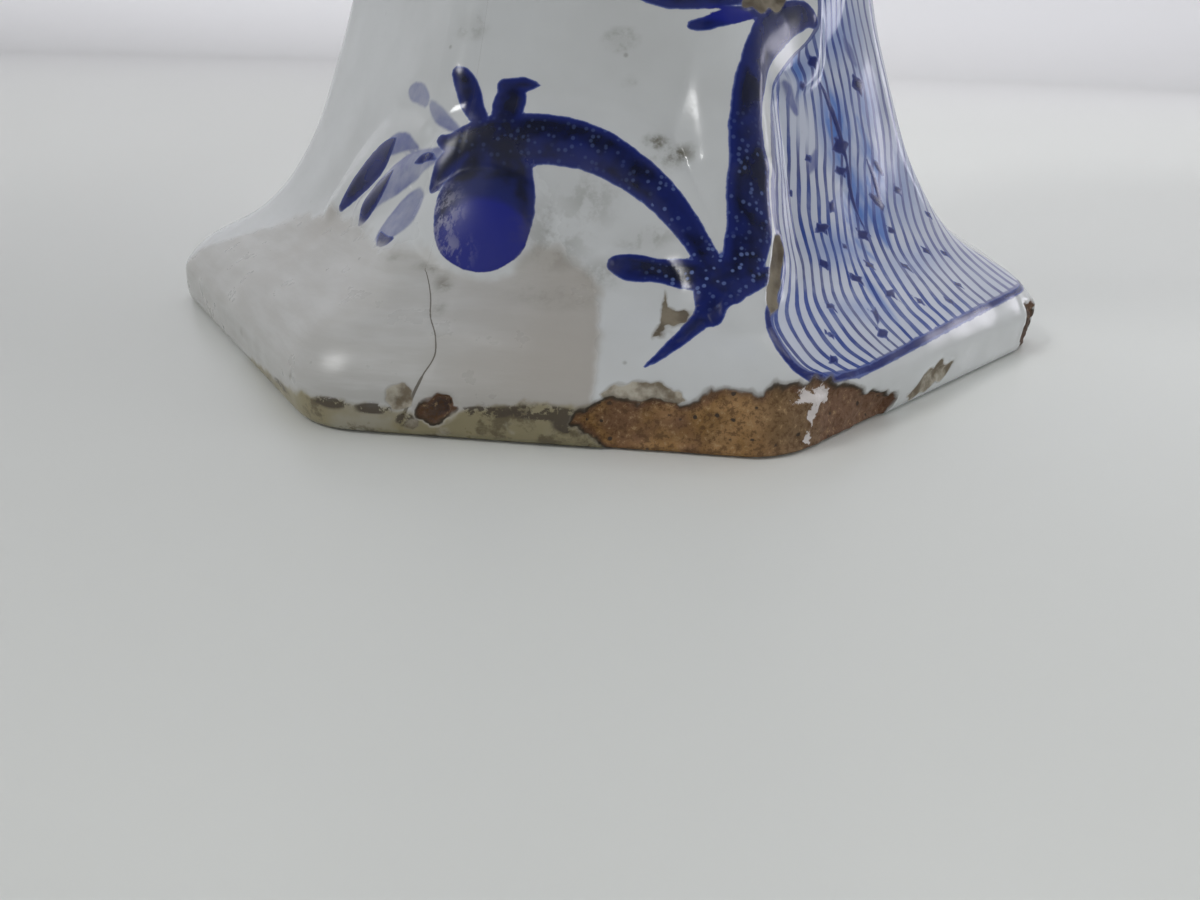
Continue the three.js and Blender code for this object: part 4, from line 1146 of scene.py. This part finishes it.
other_side = same * (np.sign(same[:, :1]) * [[1, 0, 0]] + [[0, 1, 1]])
ink = np.minimum(stroke_distance(same, [trace(s, 6) for s in body_strokes], 6.0),
                 stroke_distance(other_side, [trace(s, 6) for s in mirrored_strokes], 6.0))
borders = [rings(body_h, [(WAIST + 2, 1.1), (60, 0.5), (240.5, 0.6), (244, 0.5)]),
           scallops(body_a, body_h, 238, 13, ARCS, 0.7), scallops(body_a, body_h, 235.4, 12.4, ARCS, 0.45),
           hatching(body_a, body_h, 241.5, 243.2, 6 * ARCS, 0.6, 0.25),
           scallops(body_a, -body_h, -60, 13, ARCS, 0.6)]
ink = np.minimum(ink, np.minimum.reduce(borders))
pale = np.minimum.reduce([
    stroke_distance(same, [trace(s, 4) for s in body_washes], 6.0),
    stroke_distance(other_side, [trace(s, 4) for s in placed(reserve_wash, *RESERVE)], 6.0),
    np.maximum(239 - body_h, body_h - 245),
    np.maximum(np.abs(scallop_edge(body_a, body_h, 236.7, 12.7, ARCS)) - 1.3, body_h - 239),
    np.maximum(scallop_edge(body_a, -body_h, -60, 9, ARCS) + 1, body_h - 66)])
outer = (np.arange(len(body_rows)) < len(body_out)).repeat(len(body_around))
ink[~outer], pale[~outer] = NO_PAINT, NO_PAINT
lift = ridge_height(same, body_ridges) + 0.2 * ripple(spots, 34, 11) + 0.05 * ripple(spots, 9, 12) - 0.2
lift *= np.clip((body_h - WAIST - 4) / 4, 0, 1) * np.clip((COLLAR - body_h) / 3, 0, 1) * outer
body_skin = shaped(body_grid, lift.reshape(body_grid.shape[:2]))
for axis, limit in enumerate(BOX_LIMITS):
    body_skin[..., axis] = np.clip(body_skin[..., axis], -limit, limit)
body_wash = patches(other_side, [(52, 190, 12, 20, 0.9), (68, 110, 9, 24, 0.8), (50, 100, 9, 12, 0.6),
                                 (72, 175, 8, 22, 0.7)])
body_fields = {"ink": ink, "pale": pale, "lines": body_water(np.abs(body_a), body_h), "wash": body_wash,
               "panel": np.where(outer, body_panel(np.abs(body_a), body_h), -5.0)}
body = add_piece("body_painted", body_skin, "vase", ["body"], fields=body_fields)
body.data.materials.append(painted_glaze("tin_glaze_on_body", body_fields, PETAL_BLUE))
print("body strokes:", len(body_strokes) + 2 * len(mirrored_strokes))

# %% [markdown]
# ## Neck
# The neck is the collar between the shoulder and the lid: an open tube with a rolled lip, luted on with
# slip. It could be turned on a wheel, but it has to meet the facets of the body, so it is the same
# octagon on a small profile. Its skin runs up the outside, over the lip and down the inside in one closed
# loop, so the mouth is open when the lid is lifted.

# %% Neck
NECK_WALL = 5.5
neck_heights = np.linspace(COLLAR, RIM, 56)
neck_halves = half_width(neck_heights) + bead(neck_heights, COLLAR + 2, 2, 1.5)
neck_out = np.column_stack([neck_halves, neck_heights])
neck_in = np.column_stack([half_width(neck_heights[::-4]) - NECK_WALL, neck_heights[::-4]])
neck_around = columns([(0, GIRTH, 0.98)])
neck_rows = np.vstack([neck_out, neck_in])
neck_grid = level_grid(neck_rows, neck_around)
neck_a, neck_h = spread(neck_rows, neck_around)
ink = np.minimum.reduce([
    rings(neck_h, [(COLLAR + 2, 1.0), (251, 0.3), (272, 0.3), (RIM - 0.6, 1.0)]),
    scallops(neck_a, neck_h, 271, 6, 24, 0.5), scallops(neck_a, -neck_h, -252, 6, 24, 0.5),
    hatching(neck_a, neck_h, 275, 280, 48, 0.75, 0.12)])
spray = [leaf(0, -4, 0.9, 8), leaf(0, -4, 2.24, 8), leaf(0, -4, UP, 9)]
sprays = [trace(s, 5) for s in all_round(spray, 261, 8, 0)]
ink = np.minimum(ink, stroke_distance(neck_grid.reshape(-1, 3), sprays, 5.0))
outer = (np.arange(len(neck_rows)) < len(neck_out)).repeat(len(neck_around))
ink[~outer & (neck_h < RIM - 1)] = NO_PAINT
neck_fields = {"ink": ink, "pale": np.where(outer, np.maximum(273.5 - neck_h, neck_h - 281.5), NO_PAINT)}
lift = (0.12 * ripple(neck_grid.reshape(-1, 3), 18, 13) - 0.1) * np.clip((neck_h - 251) / 4, 0, 1) * outer
lift *= np.clip((RIM - neck_h) / 2, 0, 1)
neck_skin = shaped(neck_grid, lift.reshape(neck_grid.shape[:2]))
neck = add_piece("neck_painted", neck_skin, "vase", ["neck"], closed=True, fields=neck_fields)
neck.data.materials.append(painted_glaze("tin_glaze_on_neck", neck_fields, PETAL_BLUE))

# %% [markdown]
# ## Lid
# The lid is a loose cover, pressed in a mould like the body: a flat ledge that rests on the lip, then a
# low dome, hollow inside. It could be two skins, one inside and one outside, but one profile from the
# hollow round the ledge to the top keeps the rim thick and leaves no seam.

# %% Lid
FLANGE_HALF, FLANGE_WALL, FLANGE_FOOT = 29.93, 4.0, 272.0
LID_EDGE, LID_TOP, LID_WALL, LID_ROOF = 45.5, 331.0, 5.0, 2.0
dome = spline([(38.95, 294.1), (37.5, 301.1), (32.6, 310.5), (24, 317.9), (16.4, 324), (10.5, LID_TOP)], 16)
dome = np.vstack([np.linspace((39.95, 290.6), dome[0], 8)[:-1], even_path(dome, 0.85)])
lid_hollow = (dome - (LID_WALL, LID_ROOF))[dome[:, 0] > 11.4][::-3]
mouth = FLANGE_HALF - FLANGE_WALL
ledge = blurred(np.array([(43.5, RIM), (45.2, RIM), (LID_EDGE, RIM + 1), (LID_EDGE, 288.2), (44, 290),
                          (41, 290.4)]), 0.12, 0.3)
lid_profile = np.vstack([lid_hollow, [(mouth, 289.5), (mouth, RIM)], even_path(ledge, 0.5), dome])
lid_around = columns([(0, GIRTH, 1.1)])
lid_grid = level_grid(lid_profile, lid_around)
lid_out = np.arange(len(lid_profile)) >= len(lid_hollow) + 2
lid_a, lid_h = spread(lid_profile, lid_around)


def lid_stroke(points, facet):
    """Stroke on a lid facet, given as (mm aside, height on the dome, half width)."""
    path = spline(points, 6)
    half = np.interp(path[:, 1], dome[:, 1], dome[:, 0])
    xy = plan(facet * GIRTH / 8 + path[:, 0] * FOOT_HALF / half) * (half / FOOT_HALF)[:, None]
    return np.column_stack([xy, path[:, 1], path[:, 2]])


lid_flower, lid_petals = bouquet(
    [[(0, 295.6, 0.5), (0.4, 299, 0.6)],
     [(0, 309, 0.6), (0.4, 313, 0.5), (0, 318, 0.3)],
     [(-1.1, 318.6, 0.8), (0, 319.6, 1), (1.1, 318.6, 0.8)]],
    [(0, 296.5, 0.35, 11, 0.2), (0, 296.5, 2.79, 11, 0.2), (0, 311, 0.5, 7, 0.2), (0, 311, 2.64, 7, 0.2),
     (5.6, 303, 0.2, 5, 0.2), (-5.6, 303, 2.94, 5, 0.2)],
    [(0, 303.6, 6, 6, 0.26, 0.5)])
lid_strokes = [lid_stroke(line, k) for k in range(8) for line in lid_flower]
lid_washes = [lid_stroke(line, k) for k in range(8) for line in lid_petals]
ink = stroke_distance(lid_grid.reshape(-1, 3), lid_strokes, 5.0)
lid_rings = rings(lid_h, [(287, 0.35), (292.2, 0.45), (294.6, 0.25), (321.5, 0.3), (LID_TOP, 1.4)])
ink = np.minimum.reduce([ink, lid_rings, hatching(lid_a, lid_h, 284.6, 286.4, 96, 0.9, 0.3)])
outer = lid_out.repeat(len(lid_around))
ink[~outer] = NO_PAINT
pale = stroke_distance(lid_grid.reshape(-1, 3), lid_washes, 5.0)
pale = np.minimum(pale, np.maximum(287.4 - lid_h, lid_h - 291.8))
lid_fields = {"ink": ink, "pale": np.where(outer, pale, NO_PAINT)}
lift = (0.14 * ripple(lid_grid.reshape(-1, 3), 16, 14) - 0.1) * outer * np.clip((lid_h - 291) / 4, 0, 1)
lift *= np.clip((LID_TOP - lid_h) / 3, 0, 1)
lid_skin = shaped(lid_grid, lift.reshape(lid_grid.shape[:2]))
lid = add_piece("lid_painted", lid_skin, "lid", ["lid_dome"], fields=lid_fields)
lid.data.materials.append(painted_glaze("tin_glaze_on_lid", lid_fields, PETAL_BLUE))

# %% [markdown]
# ## Knob
# The knob is what the hand takes hold of: a bud with eight soft lobes, luted to the top of the lid. It
# could be modelled lobe by lobe, but a round profile whose radius dips at eight even turns gives the
# grooves that a potter presses with a stick, and the paint can follow the same turns.

# %% Knob
KNOP_HEIGHT, KNOP_HALF, LOBES = 37.0, 17.0, 8
bud = spline([(0.6, 0), (0.68, 0.05), (0.55, 0.12), (0.47, 0.2), (0.8, 0.32), (1, 0.48), (0.97, 0.64),
              (0.7, 0.82), (0.35, 0.94), (0.12, 1)], 12)
bud = even_path(bud * (KNOP_HALF, KNOP_HEIGHT) + (0, LID_TOP), 0.5)
turn = np.linspace(0, 2 * np.pi, 192, endpoint=False)
lobe = 0.5 + 0.5 * np.cos(LOBES * turn)[None, :]
share = ((bud[:, 1] - LID_TOP) / KNOP_HEIGHT)[:, None]
deep = 0.07 + 0.05 * np.exp(-((share - 0.55) / 0.2) ** 2)
radius = bud[:, :1] * (1 - deep * lobe**3)
knop_grid = np.stack([radius * np.cos(turn), radius * np.sin(turn),
                      np.broadcast_to(bud[:, 1:], radius.shape)], -1)
to_groove = np.abs(np.mod(turn * LOBES / (2 * np.pi) + 0.5, 1) - 0.5)[None, :] * 2 * np.pi / LOBES * radius
petal = np.where(share > 0.3, to_groove - 0.5 - 2.2 * np.clip(share - 0.55, 0, 1), NO_PAINT)
waist_line, foot_line = np.abs(share - 0.2) * KNOP_HEIGHT - 0.9, np.abs(share - 0.05) * KNOP_HEIGHT - 0.5
tip = (0.93 - share) * KNOP_HEIGHT
knop_ink = np.minimum(np.minimum(petal, tip), np.minimum(waist_line, foot_line))
knop_fields = {"ink": np.broadcast_to(knop_ink, radius.shape).ravel(),
               "pale": np.broadcast_to(to_groove - 1.9, radius.shape).ravel()}
knop = add_piece("knop_painted", knop_grid, "lid", ["knop"], fields=knop_fields)
knop.data.materials.append(painted_glaze("tin_glaze_on_knop", knop_fields, PETAL_BLUE))

# %% [markdown]
# ## Locating ring
# A plain strip under the lid drops into the neck and keeps the lid from sliding off. It could be part of
# the lid's own skin, but it is a strip that the potter adds, and a closed loop of its own stays thick
# from every side. It carries glaze without painting.

# %% Locating ring
flange_profile = np.array([
    (FLANGE_HALF - 1.5, FLANGE_FOOT), (FLANGE_HALF - 0.4, FLANGE_FOOT + 0.6),
    (FLANGE_HALF, FLANGE_FOOT + 1.6), (FLANGE_HALF, RIM), (mouth, RIM), (mouth, FLANGE_FOOT + 1.4),
    (mouth + 0.5, FLANGE_FOOT + 0.4)])
flange_grid = level_grid(flange_profile, columns([(0, GIRTH, 3)]))
flange_fields = {"ink": np.full(flange_grid.shape[0] * flange_grid.shape[1], NO_PAINT)}
flange = add_piece("locating_ring", flange_grid, "lid", ["lid_flange"], closed=True, fields=flange_fields)
flange.data.materials.append(painted_glaze("tin_glaze_on_ring", flange_fields))
print("pieces above the foot are done")

# %% [markdown]
# ## Floor and light
# The vase stands on a pale, slightly glossy surface under a wide soft light from above and behind, with
# weaker windows at the front left. The faces toward the camera are therefore darker than the floor.

# %% Floor that curves up into a backdrop all round
def add_floor():
    """Flat disc, then a quarter circle up, then a straight wall: that profile turned about the middle."""
    flat, radius, wall = 1.6, 0.6, 1.9
    bend = np.linspace(0, np.pi / 2, 20)
    away = np.concatenate([np.linspace(0.02, flat, 24), flat + radius * np.sin(bend[1:]), [flat + radius]])
    rise = np.concatenate([np.zeros(24), radius * (1 - np.cos(bend[1:])), [radius + wall]])
    turn = np.linspace(0, 2 * np.pi, 96, endpoint=False)
    points = np.stack([away[:, None] * np.cos(turn), away[:, None] * np.sin(turn),
                       np.broadcast_to(rise[:, None], (len(away), len(turn)))], -1).reshape(-1, 3)
    i, k = np.meshgrid(np.arange(len(away) - 1) * len(turn), np.arange(len(turn)), indexing="ij")
    after = (k + 1) % len(turn)
    quads = np.stack([i + k, i + k + len(turn), i + after + len(turn), i + after], -1).reshape(-1, 4)
    mesh = bpy.data.meshes.new("floor")
    mesh.from_pydata(points.tolist(), [], quads.tolist() + [list(range(len(turn)))])
    mesh.polygons.foreach_set("use_smooth", np.ones(len(mesh.polygons), bool))
    sheet = bpy.data.objects.new("floor", mesh)
    scene.collection.objects.link(sheet)
    return sheet


floor = add_floor()
s = Shader("pale_table")
place_x = s.add("ShaderNodeSeparateXYZ", {0: s.add("ShaderNodeTexCoord", output=3)}, output=0)
place_y = s.add("ShaderNodeSeparateXYZ", {0: s.add("ShaderNodeTexCoord", output=3)}, output=1)
TABLE_NEAR, TABLE_FAR, SHADE_BLACK = (.725, .74, .715), (.64, .64, .645), (0, 0, 0)
WALL_LOW, WALL_HIGH = (.60, .60, .61), (.85, .85, .88)
near_to_far = s.blend(s.step(place_y, 0.1, 1.2), TABLE_NEAR, TABLE_FAR)
# Painted shade: the table is darker towards the left of the vase.
near_to_far = s.blend(s.step(place_x, -0.14, 0.03, 0.3, 0.04), near_to_far, SHADE_BLACK)
away = s.add("ShaderNodeVectorMath", {0: s.add("ShaderNodeTexCoord", output=3)}, output=1,
             operation="LENGTH")
wall = s.blend(s.step(place_y, 0.4, 1.8), WALL_LOW, WALL_HIGH)
near_to_far = s.blend(s.step(away, 1.5, 2.1), near_to_far, wall)
floor.data.materials.append(s.finish(color=near_to_far, roughness=0.3, ior=1.4))
print("floor reaches", [round(v, 2) for v in floor.dimensions])

# %% Lights
def add_light(name, place, aim, size, power, tint):
    """Soft rectangular lamp at a place, turned to face a point; sizes in metres, power in watts."""
    lamp = bpy.data.lights.new(name, "AREA")
    lamp.shape, lamp.size, lamp.size_y, lamp.energy, lamp.color = "RECTANGLE", *size, power, tint
    away = np.array(place) - np.array(aim)
    away /= np.linalg.norm(away)
    across = np.cross([0, 0, 1.0] if abs(away[2]) < 0.98 else [0, 1.0, 0], away)
    across /= np.linalg.norm(across)
    turned = np.stack([across, np.cross(away, across), away], 1)
    source = bpy.data.objects.new(name, lamp)
    source.matrix_world = seated(turned, place)
    source.visible_camera = False
    scene.collection.objects.link(source)
    return source


WHITE, LILAC_WHITE, MIDDLE, FILL_SIZE = (1, 1, 1), (0.92, 0.9, 1), (0, 0, 0.1), (1, 0.8)
lamps = [
    ("sky_behind", (0.35, 0.5, 1.7), (0, 0.1, 0), (2.2, 1.7), 14.6, WHITE, False),
    ("backdrop_wash", (-0.3, 1.0, 1.5), (-0.3, 2.0, 0.3), (2.8, 0.5), 12, WHITE, True),
    ("front_wash", (0, -1.0, 1.7), (0, -2.0, 0.4), (2.6, 0.4), 5, WHITE, False),
    ("window_left", (-0.825, -0.441, 1.0), (0, 0, 0.05), (0.36, 0.25), 4.6, WHITE, True),
    ("window_right", (1.15, 0.72, 0.3), (0, 0, 0.04), (0.28, 0.36), 0.9, LILAC_WHITE, True),
    ("fill_front", (0.1, -1.4, 0.4), MIDDLE, FILL_SIZE, 1.8, WHITE, False),
    ("fill_left", (-1.4, -0.1, 0.3), MIDDLE, FILL_SIZE, 1.5, WHITE, False),
    ("fill_right", (1.4, 0, 0.4), MIDDLE, FILL_SIZE, 3.8, WHITE, False),
]
for name, place, aim, size, power, tint, mirrored in lamps:
    add_light(name, place, aim, size, power, tint).visible_glossy = mirrored
world = bpy.data.worlds.new("soft_room")
world.use_nodes = True
nodes, links = world.node_tree.nodes, world.node_tree.links
facing = nodes.new("ShaderNodeVectorMath")
facing.operation = "DOT_PRODUCT"
facing.inputs[1].default_value = (0, -0.6, 0.8)
links.new(nodes.new("ShaderNodeTexCoord").outputs["Generated"], facing.inputs[0])
shade = nodes.new("ShaderNodeMapRange")
shade.interpolation_type = "SMOOTHSTEP"
for socket, value in zip((1, 2, 3, 4), (0.6, 0.95, 0.24, 0.1)):
    shade.inputs[socket].default_value = value
links.new(facing.outputs["Value"], shade.inputs[0])
nodes["Background"].inputs[0].default_value = (0.98, 0.99, 1, 1)
links.new(shade.outputs[0], nodes["Background"].inputs[1])
scene.world = world
